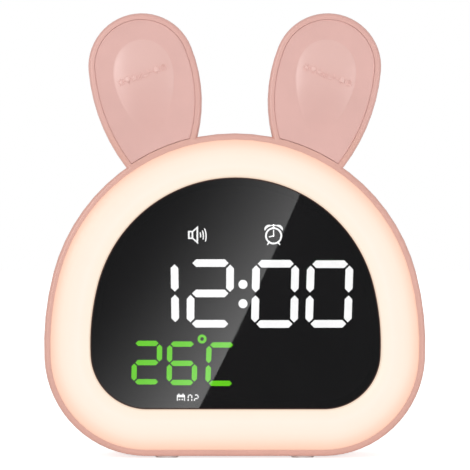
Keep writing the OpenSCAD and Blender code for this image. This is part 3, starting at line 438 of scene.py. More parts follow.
@dataclass(frozen=True)
class FineMesh:
    """A woven net seen through the loudspeaker's holes, with threads across and up."""

    name: str
    thread: Rgb
    pitch: float = 0.55
    gap_colour: ClassVar[Colour] = (0.004, 0.004, 0.004, 1)

    def material(self) -> bpy.types.Material:
        """Makes the material.

        Returns:
            The material.
        """
        recipe = Recipe(self.name)
        across, up = [recipe.calc("ABSOLUTE", recipe.wave(axis, math.pi / (self.pitch * MM)))
                      for axis in "XZ"]
        height = recipe.calc("MAXIMUM", across, up)
        gaps = recipe.spread(height, 0.55, 0.8, 1, 0)
        return recipe.finish({
            "Base Color": recipe.blend(gaps, display(*self.thread), self.gap_colour),
            "Roughness": recipe.spread(gaps, 0, 1, 0.55, 0.8), "Normal": recipe.bump(height, 0.12, 0.8),
            "Specular IOR Level": 0.3})


@dataclass(frozen=True)
class PressedPaper:
    """The loudspeaker's cone: pressed fibres that run round."""

    name: str
    colour: Rgb

    def material(self) -> bpy.types.Material:
        """Makes the material.

        Returns:
            The material.
        """
        recipe = Recipe(self.name)
        fibres = recipe.noise(1600, 4, recipe.stretched(1, 1, 0.3))
        base = display(*self.colour)
        return recipe.finish({
            "Base Color": recipe.blend(fibres, base, shaded(base, 1.8)),
            "Roughness": recipe.uneven(fibres, 0.7, 0.9), "Normal": recipe.bump(fibres, 0.06, 0.7),
            "Specular IOR Level": 0.3})


@dataclass(frozen=True)
class FlatRibbon:
    """A flat cable: thin conductors side by side in clear film, one each pitch."""

    name: str
    film: Rgb
    wire: Rgb
    pitch: float = 1.0

    def material(self) -> bpy.types.Material:
        """Makes the material.

        Returns:
            The material.
        """
        recipe = Recipe(self.name)
        wire = recipe.spread(recipe.wave("X", 2 * math.pi / (self.pitch * MM)), -0.1, 0.3)
        return recipe.finish({
            "Base Color": recipe.blend(wire, display(*self.film), display(*self.wire)),
            "Roughness": recipe.uneven(recipe.noise(700), 0.28, 0.4), "Normal": recipe.bump(wire, 0.04, 0.5)})


class Finishes:
    """Every finish of the clock, made once and handed out by name."""

    # The glow by the distance in from the body's outline
    GLOW = ((2.3, (255, 217, 195)), (2.8, (254, 212, 189)), (3.6, (254, 215, 192)), (6.4, (254, 232, 214)),
            (8.5, (254, 238, 222)), (12.5, (254, 242, 228)), (16.2, (254, 239, 221)),
            (16.88, (255, 229, 206)))

    def __init__(self) -> None:
        """Makes the materials."""
        key = MouldedPlastic("key_plastic", (223, 177, 169), 0.32, grain=0.3, relief=0.006)
        black = MouldedPlastic("black_plastic", (26, 26, 27), 0.5, drift=0.1)
        made = (
            # Painted light: the rim turns paler high up, round the ears, standing in for how light falls
            # there
            MouldedPlastic("rim_plastic", (219, 167, 153), 0.48, parting=-11.0, polish=0.4,
                           painted_top_colour=(219, 169, 159)),
            MouldedPlastic("housing_plastic", (219, 171, 161), 0.5, grain=0.45, relief=0.02, parting=-11.0),
            key,
            # Painted highlight: the pads' finish turns lighter towards their tops
            replace(key, name="pad_painted_highlight", painted_top_colour=(226, 183, 175), painted_top_heights=(124.0, 146.0)),
            # Painted light: the pictograms are lighter than the key, standing in for the light their small
            # raised faces catch
            replace(key, name="mark_painted_light", colour=(231, 188, 180)),
            MouldedPlastic("white_plastic", (236, 236, 232), 0.5),
            black,
            replace(black, name="housing_black", colour=(20, 20, 20), roughness=0.6),
            replace(black, name="unlit_bar", colour=(25, 25, 25), roughness=0.6),
            MouldedPlastic("red_sheath", (176, 30, 28), 0.4, grain=0.8),
            MouldedPlastic("black_sheath", (30, 30, 32), 0.4, grain=0.8, drift=0.1),
            MouldedPlastic("white_sheath", (226, 224, 218), 0.4, grain=0.8),
            MouldedPlastic("cell_wrap", (60, 120, 190), 0.25, grain=2.0, relief=0.03, drift=0.06),
            MouldedPlastic("tape", (52, 52, 54), 0.8, grain=0.2, relief=0.04, drift=0.1),
            MouldedPlastic("lamp_window", (250, 236, 176), 0.25, grain=0.6),
            MouldedPlastic("chip_resin", (38, 38, 40), 0.55, grain=0.25, drift=0.15),
            MouldedPlastic("sensor_glass", (84, 60, 40), 0.15, grain=0.5, drift=0.2),
            MilkGlow("milk_glow", self.GLOW, start=2.3, width=14.58),
            SmokedAcrylic("smoked_acrylic"),
            SmokedAcrylic("acrylic_back", cover=0.06),
            MouldedPlastic("black_print", (10, 10, 10), 0.45, grain=0.6, drift=0.1),
            # Painted shade: a dark brown band round the lens's front edge, in place of the shade at its edge
            MouldedPlastic("brown_painted_shade", (44, 14, 4), 0.8, grain=0.6, drift=0.1),
            LitBar("white_light", (1.0, 1.0, 1.0, 1.0), strength=8.6),
            LitBar("green_light", (0.21, 1.0, 0.012, 1.0), strength=5.24),
            Laminate("green_board", (24, 84, 48), (48, 122, 72)),
            Laminate("white_board", (232, 232, 228), (214, 214, 208)),
            Metal("steel", (196, 196, 198)),
            Metal("dark_steel", (92, 92, 96), 0.38),
            Metal("magnet_plating", (150, 150, 152), 0.25),
            Rubber("foot_rubber", (252, 250, 248)),
            Rubber("seal_foam", (40, 40, 42), 0.9),
            FineMesh("dust_mesh", (70, 66, 66)),
            PressedPaper("cone_paper", (34, 34, 36)),
            FlatRibbon("ribbon_film", (226, 218, 196), (168, 156, 130)),
        )
        self.by_name = {one.name: one.material() for one in made}

    def of(self, name: str) -> bpy.types.Material:
        """Returns the material of that name."""
        return self.by_name[name]

    def dress(self, nodes: dict[str, Sequence[str]]) -> None:
        """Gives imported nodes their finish, and smooth faces between their sharp edges.

        Args:
            nodes: The names of the nodes that each finish goes on.
        """
        for finish, name in [(finish, name) for finish, names in nodes.items() for name in names]:
            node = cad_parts[name]
            mesh = node.data
            for layer in ("custom_normal", "sharp_edge", "sharp_face"):
                if layer in mesh.attributes:
                    mesh.attributes.remove(mesh.attributes[layer])
            mesh.materials.clear()
            mesh.materials.append(self.of(finish))
            mesh.shade_smooth()
            node.modifiers.new("joined_seams", "WELD").merge_threshold = SAME_SEAM
            split = node.modifiers.new("sharp_edges", "EDGE_SPLIT")
            split.split_angle = math.radians(NODE_CREASE)
            split.use_edge_sharp = False
            node.modifiers.new("even_faces", "WEIGHTED_NORMAL").weight = 50
            LOG.info("%s: dressed in %s", name, finish)


# ---------------------------------------------------------------------------------------------- outlines


def heading(turn: float) -> Point:
    """Returns the unit direction that is turn degrees clockwise from straight up."""
    return math.sin(math.radians(turn)), math.cos(math.radians(turn))


def moved(start: Point, length: float, turn: float) -> Point:
    """Returns the point that lies length away from start in the direction turn."""
    way = heading(turn)
    return start[0] + length * way[0], start[1] + length * way[1]


def sweep(low: float, high: float, steps: int) -> list[float]:
    """Returns evenly spread values from low to high, both ends included."""
    return [low + (high - low) * i / steps for i in range(steps + 1)]


@dataclass(frozen=True)
class BodyOutline:
    """The front outline of the body: arcs over the top, down the sides and round the lower corners."""

    top_r: float = 69.0
    side_r: float = 103.5
    corner_r: float = 37.5
    top_end: float = 75.4
    side_end: float = 93.0
    lift: float = 0.8

    def middles(self) -> tuple[Point, Point, Point]:
        """Finds the middles of the arcs.

        Returns:
            The middles of the top, right side and right corner arcs.
        """
        side = moved((0.0, 0.0), self.top_r - self.side_r, self.top_end)
        corner = moved(side, self.side_r - self.corner_r, self.side_end)
        rise = self.lift + self.corner_r - corner[1]
        return (0.0, rise), (side[0], side[1] + rise), (corner[0], corner[1] + rise)

    def point(self, turn: float, inset: float) -> Point:
        """Finds the right-hand point whose outward direction is turn, moved in.

        Args:
            turn: Degrees from straight up.
            inset: How far in.

        Returns:
            The point in X and Z.
        """
        top, side, corner = self.middles()
        if turn <= self.top_end:
            return moved(top, self.top_r - inset, turn)
        if turn <= self.side_end:
            return moved(side, self.side_r - inset, turn)
        return moved(corner, self.corner_r - inset, turn)

    def loop(self, inset: float) -> list[Point]:
        """Draws the whole outline, moved in, clockwise from the top.

        Args:
            inset: How far in.

        Returns:
            The points of the loop.
        """
        turns = (sweep(0, self.top_end, 30)[:-1] + sweep(self.top_end, self.side_end, 8)[:-1]
                 + sweep(self.side_end, 180, 32))
        right = [self.point(turn, inset) for turn in turns]
        return right + [(-x, z) for x, z in reversed(right[1:])]


@dataclass(frozen=True)
class EarOutline:
    """The front outline of the right ear, in the same way."""

    body: BodyOutline
    lean: float = 20.1
    reach: float = 30.6
    tip_r: float = 19.6
    inner_r: float = 53.0
    outer_r: float = 68.0
    inner_turn: float = 88.0
    outer_turn: float = 75.0
    inner_sweep: float = 52.0
    outer_sweep: float = 46.0
    side_steps: int = 60
    tip_steps: int = 120
    round_steps: int = 150
    foot_steps: int = 40

    def tip(self) -> Point:
        """Returns the middle of the round tip."""
        return moved(self.body.middles()[0], self.body.top_r + self.reach, self.lean)

    def place(self, up: float, out: float) -> Point:
        """Returns the point that lies up along the ear from its tip's middle, and out across it."""
        return moved(moved(self.tip(), up, self.lean), out, self.lean + 90)

    def path(self, inset: float) -> list[Point]:
        """Draws the open line from the inner foot over the tip to the outer foot.

        Args:
            inset: How far in from the ear's outline.

        Returns:
            The points of the line.
        """
        tip, start, end = self.tip(), self.lean - self.inner_turn, self.lean + self.outer_turn
        inner = moved(tip, self.tip_r - self.inner_r, start)
        outer = moved(tip, self.tip_r - self.outer_r, end)
        arcs = ((inner, self.inner_r, sweep(start - self.inner_sweep, start, self.side_steps)[:-1]),
                (tip, self.tip_r, sweep(start, end, self.tip_steps)[:-1]),
                (outer, self.outer_r, sweep(end, end + self.outer_sweep, self.side_steps)))
        return [moved(middle, radius - inset, a) for middle, radius, turns in arcs for a in turns]

    def key(self, inset: float, gap: float) -> list[Point]:
        """Draws the closed outline of the ear above the body.

        Args:
            inset: How far in from the ear's own outline.
            gap: How far above the body's outline its foot runs.

        Returns:
            Points clockwise, from the inner foot.
        """
        middle = self.body.middles()[0]
        limit = self.body.top_r + gap
        path = self.path(inset)
        far = [math.dist(p, middle) - limit for p in path]
        first = next(i for i in range(len(path) // 2, 0, -1) if far[i - 1] < 0)
        last = next(i for i in range(len(path) // 2, len(path) - 1) if far[i + 1] < 0)
        # The line starts and ends where it crosses the foot
        line = [between(path[i], path[i + 1], far[i] / (far[i] - far[i + 1])) for i in (first - 1, last)]
        line[1:1] = path[first:last + 1]
        ends = [math.degrees(math.atan2(p[0] - middle[0], p[1] - middle[1])) for p in (line[-1], line[0])]
        foot = [moved(middle, limit, a) for a in sweep(ends[0], ends[1], self.foot_steps)[1:-1]]
        return evenly(line, self.round_steps) + foot


def between(first: Point, second: Point, share: float) -> Point:
    """Returns the point that lies a share of the way from the first point to the second."""
    return first[0] + share * (second[0] - first[0]), first[1] + share * (second[1] - first[1])


def evenly(line: Sequence[Point], steps: int) -> list[Point]:
    """Spreads points evenly along an open line.

    Args:
        line: The line's points.
        steps: Number of steps along it.

    Returns:
        One point more than steps, with both ends.
    """
    along = [0.0]
    for first, second in zip(line, line[1:]):
        along.append(along[-1] + math.dist(first, second))
    spread, at = [], 0
    for goal in sweep(0, along[-1], steps):
        while at < len(line) - 2 and along[at + 1] < goal:
            at += 1
        spread.append(between(line[at], line[at + 1], (goal - along[at]) / (along[at + 1] - along[at])))
    return spread


def edge_rows(inset: float, face: float, radius: float, steps: int, facing: Facing) -> list[Pair]:
    """Draws the section of a rounded edge, from a piece's side to its face.

    Args:
        inset: Inset of the side.
        face: Depth of the face.
        radius: Radius of the edge.
        steps: Steps round it.
        facing: The side that the face shows to.

    Returns:
        Insets and depths.
    """
    turns = [math.radians(turn) for turn in sweep(0, 90, steps)]
    return [(inset + radius * (1 - math.cos(a)), face + facing.value * radius * (1 - math.sin(a)))
            for a in turns]


# ---------------------------------------------------------------------------------------------- flat shapes


def disc(middle: Point, radius: float, steps: int = 32) -> list[Point]:
    """Returns the points of a circle."""
    return [moved(middle, radius, 360 * i / steps) for i in range(steps)]


def arc_band(middle: Point, radius: float, width: float, start: float, end: float) -> list[Point]:
    """Draws part of a circular band.

    Args:
        middle: Middle of the circle.
        radius: Mean radius of the band.
        width: Width of the band.
        start: First direction, clockwise from straight up.
        end: Last direction.

    Returns:
        The closed outline.
    """
    turns = sweep(start, end, 14)
    return ([moved(middle, radius + width / 2, a) for a in turns]
            + [moved(middle, radius - width / 2, a) for a in reversed(turns)])


def stroke(first: Point, second: Point, width: float) -> list[Point]:
    """Draws a straight bar with round ends.

    Args:
        first: Middle of its one end.
        second: Middle of its other end.
        width: Width of the bar.

    Returns:
        The closed outline.
    """
    turn = math.degrees(math.atan2(second[0] - first[0], second[1] - first[1]))
    return ([moved(second, width / 2, turn + a) for a in sweep(-90, 90, 8)]
            + [moved(first, width / 2, turn + a) for a in sweep(90, 270, 8)])


def rounded(corners: Sequence[Point], radius: float, steps: int = 4) -> list[Point]:
    """Rounds the corners of a closed shape.

    Args:
        corners: Its corners.
        radius: How far before a corner the curve starts.
        steps: Steps round each corner.

    Returns:
        The rounded outline.
    """
    made = []
    for i, corner in enumerate(corners):
        start, end = [between(corner, other, min(LONGEST_CURVE, radius / math.dist(corner, other)))
                      for other in (corners[i - 1], corners[(i + 1) % len(corners)])]
        for t in sweep(0, 1, steps):
            made.append(tuple((1 - t) ** 2 * start[k] + 2 * t * (1 - t) * corner[k] + t * t * end[k]
                              for k in (0, 1)))
    return made


@dataclass
class Stencil:
    """Flat shapes, each an outline followed by its holes."""

    shapes: list[list[list[Point]]] = field(default_factory=list)

    def add(self, outline: list[Point], *holes: list[Point]) -> "Stencil":
        """Adds one shape and returns the stencil."""
        self.shapes.append([outline, *holes])
        return self

    def placed(self, place: Point, size: float = 1.0, turn: float = 0.0) -> "Stencil":
        """Makes a copy that is scaled, turned clockwise and then moved.

        Args:
            place: Where its origin goes.
            size: Scale.
            turn: Degrees clockwise.

        Returns:
            The copy.
        """
        up, out = heading(turn), heading(turn + 90)
        return Stencil([[[tuple(place[k] + size * (x * out[k] + z * up[k]) for k in (0, 1)) for x, z in loop]
                         for loop in shape] for shape in self.shapes])

    def plus(self, other: "Stencil") -> "Stencil":
        """Returns this stencil's shapes and another's together."""
        return Stencil(self.shapes + other.shapes)

    def width(self) -> float:
        """Returns the distance between its leftmost and rightmost points."""
        across = [x for shape in self.shapes for loop in shape for x, _ in loop]
        return max(across) - min(across)


class Marks:
    """Plain pictograms about 3 mm high, round their own middle."""

    @staticmethod
    def sun() -> Stencil:
        """Draws a disc with rays.

        Returns:
            The mark.
        """
        made = Stencil().add(disc((0, 0), 0.62))
        for k in range(8):
            made.add(stroke(moved((0, 0), 0.98, 45 * k), moved((0, 0), 1.38, 45 * k), 0.26))
        return made

    @staticmethod
    def moon() -> Stencil:
        """Draws a crescent.

        Returns:
            The mark.
        """
        outer = [moved((0, 0), 1.3, a) for a in sweep(38, 232, 30)]
        hollow = [moved((0.45, 0.42), 1.02, a) for a in sweep(245, 25, 20)]
        return Stencil().add(outer + hollow)

    @staticmethod
    def bulb() -> Stencil:
        """Returns a lamp bulb over its cap."""
        glass = [moved((0, 0.4), 0.95, a) for a in sweep(-145, 145, 26)] + [(0.42, -0.62), (-0.42, -0.62)]
        return (Stencil().add(glass).add(stroke((-0.38, -0.92), (0.38, -0.92), 0.24))
                .add(stroke((-0.22, -1.28), (0.22, -1.28), 0.24)))

    @staticmethod
    def bell() -> Stencil:
        """Draws a bell with its clapper.

        Returns:
            The mark.
        """
        side = [(0.0, 1.3), (0.45, 1.18), (0.78, 0.75), (0.88, 0.0), (1.02, -0.45), (1.25, -0.8)]
        outline = side + [(-x, z) for x, z in reversed(side[1:])]
        return Stencil().add(rounded(outline, 0.2)).add(arc_band((0, -0.9), 0.36, 0.3, 95, 265))

    @staticmethod
    def star() -> Stencil:
        """Returns a star with five points."""
        return Stencil().add([moved((0, -0.05), 1.35 if k % 2 == 0 else 0.62, 36 * k) for k in range(10)])

    @staticmethod
    def dial() -> Stencil:
        """Returns a small clock face with its hands."""
        return (Stencil().add(disc((0, 0), 1.3), disc((0, 0), 0.98)).add(stroke((0, 0), (0, 0.7), 0.24))
                .add(stroke((0.02, 0), (0.5, -0.1), 0.24)))

    @staticmethod
    def dash() -> Stencil:
        """Returns a short bar."""
        return Stencil().add(stroke((-0.65, 0), (0.65, 0), 0.34))

    @staticmethod
    def bars() -> Stencil:
        """Draws three upright bars that grow, for the sound's level.

        Returns:
            The mark.
        """
        made = Stencil()
        for k in (-1, 0, 1):
            made.add(stroke((0.62 * k, -1.2), (0.62 * k, 0.3 + 0.55 * k), 0.32))
        return made

    @staticmethod
    def loop_arrow() -> Stencil:
        """Returns an arrow that runs round, for the mode button."""
        root = moved((0, 0), 1.15, 266)
        return Stencil().add(arc_band((0, 0), 1.15, 0.36, -10, 262)).add(
            [moved(root, 0.6, 268), moved((0, 0), 1.2, 308), moved(root, -0.6, 268)])

    @staticmethod
    def plus() -> Stencil:
        """Draws a plus sign.

        Returns:
            The mark.
        """
        outline, quarter = [], [(0.2, 1.25), (0.2, 0.2), (1.25, 0.2)]
        for _ in range(4):
            outline += quarter
            quarter = [(z, -x) for x, z in quarter]
        return Stencil().add(outline)

    @staticmethod
    def minus() -> Stencil:
        """Returns a minus sign."""
        return Stencil().add(stroke((-1.05, 0), (1.05, 0), 0.4))

    @staticmethod
    def bolt() -> Stencil:
        """Returns a lightning bolt, for the charging socket."""
        return Stencil().add([(0.35, 1.4), (-0.75, -0.15), (-0.1, -0.15), (-0.35, -1.4), (0.75, 0.2),
                              (0.1, 0.2)])

    @staticmethod
    def on_mark() -> Stencil:
        """Returns a stroke, for on."""
        return Stencil().add(stroke((0, -0.85), (0, 0.85), 0.36))

    @staticmethod
    def off_mark() -> Stencil:
        """Returns a ring, for off."""
        return Stencil().add(disc((0, 0), 1.0), disc((0, 0), 0.66))

    @staticmethod
    def sound() -> Stencil:
        """Draws a loudspeaker and its sound in outline.

        Returns:
            The mark.
        """
        box = [(-3.6, -1.6), (-1.95, -1.6), (0.15, -3.5), (0.15, 3.3), (-1.95, 1.4), (-3.6, 1.4)]
        made = Stencil().add(box, [(-2.98, -1.05), (-2.26, -1.05), (-2.26, 0.85), (-2.98, 0.85)],
                             [(-1.68, -1.15), (-0.47, -2.25), (-0.47, 2.05), (-1.68, 0.95)])
        for place, radius, half in ((1.05, 4.0, 13.5), (2.05, 5.5, 17.5), (3.05, 6.8, 20.5)):
            made.add(arc_band(moved((place, -0.1), -radius, 86), radius, 0.46, 86 - half, 86 + half))
        return made

    @staticmethod
    def alarm() -> Stencil:
        """Draws an alarm clock with two bells.

        Returns:
            The mark.
        """
        middle = (0, -0.45)
        made = Stencil().add(disc(middle, 3.15, 48), disc(middle, 2.5, 48))
        made.add(stroke((0, -0.45), (0, 1.6), 0.42))
        made.add(stroke((0.02, -0.45), (-1.55, -0.82), 0.46))
        for side in (-1, 1):
            cap = [moved(middle, 3.72, side * a) for a in sweep(11, 60, 14)]
            back = [moved(middle, 3.72 + 0.92 * math.sin(math.pi * k / 14) ** 0.6, side * a)
                    for k, a in enumerate(sweep(60, 11, 14))][1:-1]
            made.add(cap + back)
            made.add(stroke(moved(middle, 3.0, side * 145), moved(middle, 3.85, side * 145), 0.5))
        made.add(arc_band(middle, 3.92, 0.4, -13, 13))
        made.add(stroke(moved(middle, 3.05, 0), moved(middle, 3.95, 0), 0.55))
        return made

    @staticmethod
    def calendar() -> Stencil:
        """Draws a page of a calendar.

        Returns:
            The mark.
        """
        made = Stencil().add(rounded([(-1.5, -1.5), (1.5, -1.5), (1.5, 1.35), (-1.5, 1.35)], 0.2),
                             [(-1.15, -1.15), (1.15, -1.15), (1.15, 0.5), (-1.15, 0.5)])
        for x in (-0.75, 0.75):
            made.add([(x - 0.2, 1.35), (x + 0.2, 1.35), (x + 0.2, 1.8), (x - 0.2, 1.8)])
        for x in (-0.5, 0.5):
            made.add([(x - 0.25, -0.6), (x + 0.25, -0.6), (x + 0.25, -0.1), (x - 0.25, -0.1)])
        return made


# ---------------------------------------------------------------------------------------------- pieces


class Piece:
    """A piece being made: points in millimetres and the faces between them."""

    def __init__(self, name: str) -> None:
        """Starts an empty piece.

        Args:
            name: Name of the piece.
        """
        self.name = name
        self.points: list[Spot] = []
        self.faces: list[tuple[int, ...]] = []
        self.across: list[float] = []
        self.other_finish: dict[int, int] = {}

    def ring(self, spots: Iterable[Spot], across: float = 0.0) -> list[int]:
        """Adds points.

        Args:
            spots: The points.
            across: The number that each keeps for its place across the piece.

        Returns:
            The points' numbers.
        """
        start = len(self.points)
        self.points.extend(spots)
        self.across.extend([across] * (len(self.points) - start))
        return list(range(start, len(self.points)))

    def strip(self, first: Sequence[int], second: Sequence[int]) -> None:
        """Joins two closed rings of equal length by faces."""
        count = len(first)
        for i in range(count):
            j = (i + 1) % count
            self.faces.append((first[i], second[i], second[j], first[j]))

    def skin(self, rings: Sequence[Sequence[Spot]], closed: bool = False,
             across: Sequence[float] | None = None) -> None:
        """Joins a row of rings into a skin.

        Args:
            rings: The rings, with equal numbers of points.
            closed: Whether the last ring joins the first; if not, both ends are capped.
            across: The number that each ring's points keep for their place across the piece.
        """
        numbers = [self.ring(*both) for both in zip(rings, across or [0.0] * len(rings))]
        for first, second in zip(numbers, numbers[1:]):
            self.strip(first, second)
        if closed:
            self.strip(numbers[-1], numbers[0])
        else:
            self.faces.append(tuple(numbers[0]))
            self.faces.append(tuple(reversed(numbers[-1])))

    def turned(self, middle: Point, profile: Sequence[Pair], steps: int = 40) -> None:
        """Adds a turned solid whose axis runs along Y.

        Args:
            middle: Its axis in X and Z.
            profile: Radius and depth, from one end to the other.
            steps: Steps round it.
        """
        self.skin([[(x, depth, z) for x, z in disc(middle, radius, steps)] for radius, depth in profile])

    def plates(self, stencil: Stencil, face: float, facing: Facing = Facing.FRONT, edge: float = PLATE_EDGE,
               surface: Callable[[float, float], float] | None = None) -> None:
        """Adds thin plates of a stencil's shapes, with rounded edges.

        Args:
            stencil: The flat shapes; for the back they are drawn as seen from behind.
            face: Depth of the plates' faces.
            facing: The side that their faces show to.
            edge: Radius of their edges.
            surface: Depth that is added at a place in X and Z, so that they follow a curved face.
        """
        way, half = facing.value, PLATE_THICK / 2
        for shape in stencil.shapes:
            curve = bpy.data.curves.new("shape", "CURVE")
            curve.dimensions = "2D"
            curve.fill_mode = "BOTH"
            curve.extrude = half - edge
            curve.bevel_depth = edge
            curve.bevel_resolution = 1
            curve.offset = -edge
            for loop in shape:
                spline = curve.splines.new("POLY")
                spline.points.add(len(loop) - 1)
                for point, (x, z) in zip(spline.points, loop):
                    point.co = (x, z, 0, 1)
                spline.use_cyclic_u = True
            holder = bpy.data.objects.new("shape", curve)
            bpy.context.scene.collection.objects.link(holder)
            graph = bpy.context.evaluated_depsgraph_get()
            mesh = bpy.data.meshes.new_from_object(holder.evaluated_get(graph))
            spots = [(way * x, face + way * (half - out), z) for x, z, out in (v.co for v in mesh.vertices)]
            if surface is not None:
                spots = [(x, y + surface(x, z), z) for x, y, z in spots]
            numbers = self.ring(spots)
            self.faces.extend(tuple(numbers[i] for i in flat.vertices) for flat in mesh.polygons)
            bpy.data.objects.remove(holder)
            bpy.data.curves.remove(curve)
            bpy.data.meshes.remove(mesh)

    def mirrored(self, name: str) -> "Piece":
        """Copies the piece to the other side of the clock's middle.

        Args:
            name: Name of the copy.

        Returns:
            The copy.
        """
        made = Piece(name)
        made.points = [(-x, y, z) for x, y, z in self.points]
        made.faces = [tuple(reversed(f)) for f in self.faces]
        made.across = list(self.across)
        made.other_finish = dict(self.other_finish)
        return made

    def build(self, material: bpy.types.Material, body: Body, slot: str, stands_for: Sequence[str] = (),
              crease: float = 32.0, keep_across: bool = False,
              more: Sequence[bpy.types.Material] = ()) -> None:
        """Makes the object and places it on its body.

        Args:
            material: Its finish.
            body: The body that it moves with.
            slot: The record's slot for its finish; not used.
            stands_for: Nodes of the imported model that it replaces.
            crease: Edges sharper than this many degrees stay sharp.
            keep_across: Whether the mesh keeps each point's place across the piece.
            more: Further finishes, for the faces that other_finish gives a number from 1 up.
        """
        mesh = bpy.data.meshes.new(self.name)
        mesh.from_pydata([Vector(p) * MM for p in self.points], [], self.faces)
        for number, finish in self.other_finish.items():
            mesh.polygons[number].material_index = finish
        if keep_across:
            mesh.attributes.new("across", "FLOAT", "POINT").data.foreach_set("value", self.across)
        shaper = bmesh.new()
        shaper.from_mesh(mesh)
        bmesh.ops.remove_doubles(shaper, verts=shaper.verts, dist=SAME_POINT)
        bmesh.ops.recalc_face_normals(shaper, faces=shaper.faces)
        shaper.to_mesh(mesh)
        shaper.free()
        mesh.shade_smooth()
        mesh.set_sharp_from_angle(angle=math.radians(crease))
        for one in (material, *more):
            mesh.materials.append(one)
        made = bpy.data.objects.new(self.name, mesh)
        bpy.context.scene.collection.objects.link(made)
        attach(made, body.value)
        if stands_for:
            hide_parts(*stands_for)
        LOG.info("%s: %d faces, on %s", self.name, len(mesh.polygons), body.value)


# ---------------------------------------------------------------------------------------------- the clock


@dataclass
class Depths:
    """Depths along Y that several sub-assemblies share."""

    front: float = -25.0
    lens_front: float = -24.1
    lens_back: float = -22.2
    figures: float = -22.14
    key_front: float = -23.7
    key_back: float = -21.7
    ear_floor_back: float = -18.3
    panel: float = 23.8


@dataclass
class Shells:
    """The front frame with the ears' rims, and the rear housing."""

    finishes: Finishes

    def build(self) -> None:
        """Gives both shells and the screws that join them their finishes."""
        self.finishes.dress({"rim_plastic": ["front_frame"], "housing_plastic": ["rear_housing"],
                             "dark_steel": ["housing_screws"]})


@dataclass
class LightRing:
    """The glowing ring, with its reflector, lamps and lamp board."""

    finishes: Finishes
    outline: BodyOutline
    depths: Depths
    outer: float = 2.28
    inner: float = 16.69
    edge_depth: float = -23.4
    skirt_depth: float = -18.5
    skirt_thick: float = 1.2
    thick: float = 2.0
    ledge: Pair = (-22.05, -20.6)
    ledge_end: float = 18.9
    fullness: float = 0.55
    steps: int = 44
    under_steps: int = 10

    def crown(self, share: float) -> float:
        """Returns the depth of the ring's face at a share of its width from the outside."""
        rise = math.sin(math.pi * min(max(share, 0.0), 1.0))
        return self.edge_depth - (self.edge_depth - self.depths.front) * max(rise, 0.0) ** self.fullness

    def section(self) -> list[Pair]:
        """Draws the ring's cross-section, from the outer edge under it and back.

        Returns:
            Insets and depths.
        """
        width = self.inner - self.outer
        start, end = self.outer + self.skirt_thick, self.inner - self.thick
        made = [(self.outer, self.edge_depth), (self.outer, self.skirt_depth), (start, self.skirt_depth)]
        for inset in sweep(start, end, self.under_steps):
            made.append((inset, self.crown((inset - self.outer) / width) + self.thick))
        made += [(end, self.ledge[1]), (self.ledge_end, self.ledge[1]), (self.ledge_end, self.ledge[0]),
                 (self.inner, self.ledge[0])]
        # Steps bunch up at both edges, where the face turns most
        for i in range(self.steps, 0, -1):
            share = (1 - math.cos(math.pi * i / self.steps)) / 2
            made.append((self.outer + share * width, self.crown(share)))
        return made

    def build(self) -> None:
        """Builds the ring and dresses what lies behind it."""
        section = self.section()
        # The lit face is the section's first point and its last ones
        face_from = len(section) - self.steps - 1
        rings, across = [], []
        for i, (inset, depth) in enumerate(section):
            share = (inset - self.outer) / (self.inner - self.outer)
            rings.append([(x + LENS_SHIFT[0] * share, depth, z + LENS_SHIFT[1] * share)
                          for x, z in self.outline.loop(inset)])
            across.append(0.0 if 0 < i < face_from else lit_number(share))
        piece = Piece("glow_ring")
        piece.skin(rings, closed=True, across=across)
        piece.build(self.finishes.of("milk_glow"), Body.CLOCK, "milk", ["light_diffuser"],
                    crease=40, keep_across=True)
        self.finishes.dress({"white_plastic": ["light_reflector"], "white_board": ["led_ring_board"],
                             "lamp_window": ["ring_leds"]})


@dataclass(frozen=True)
class Figure:
    """The size of one seven-bar figure."""

    width: float
    height: float
    bar: float
    gap: float = 0.78
    slant: float = 0.7
    softening: ClassVar[float] = 0.05

    def changed(self, size: float, slant: float) -> "Figure":
        """Returns a figure of another size and slant whose bars are as wide."""
        return replace(self, width=self.width * size, height=self.height * size, slant=slant)

    def bars(self, lit: str) -> Stencil:
        """Draws the lit bars of a figure round its own middle.

        Args:
            lit: Letters a to g of the bars that are on.

        Returns:
            The bars, with softened corners.
        """
        x, z = (self.width - self.bar) / 2, (self.height - self.bar) / 4
        spots = {"a": (0, 2 * z, False), "b": (x, z, True), "c": (x, -z, True), "d": (0, -2 * z, False),
                 "e": (-x, -z, True), "f": (-x, z, True), "g": (0, 0, False)}
        pull, k = self.gap / math.sqrt(2), self.bar / 2
        lean = math.tan(math.radians(self.slant))
        made = Stencil()
        for mx, mz, upright in (spots[letter] for letter in lit):
            half = (z if upright else x) - pull
            corners = [(-half, 0), (k - half, k), (half - k, k), (half, 0), (half - k, -k), (k - half, -k)]
            if upright:
                corners = [(b, a) for a, b in reversed(corners)]
            leaning = [(mx + a + (mz + b) * lean, mz + b) for a, b in corners]
            made.add(rounded(leaning, self.softening, 2))
        return made


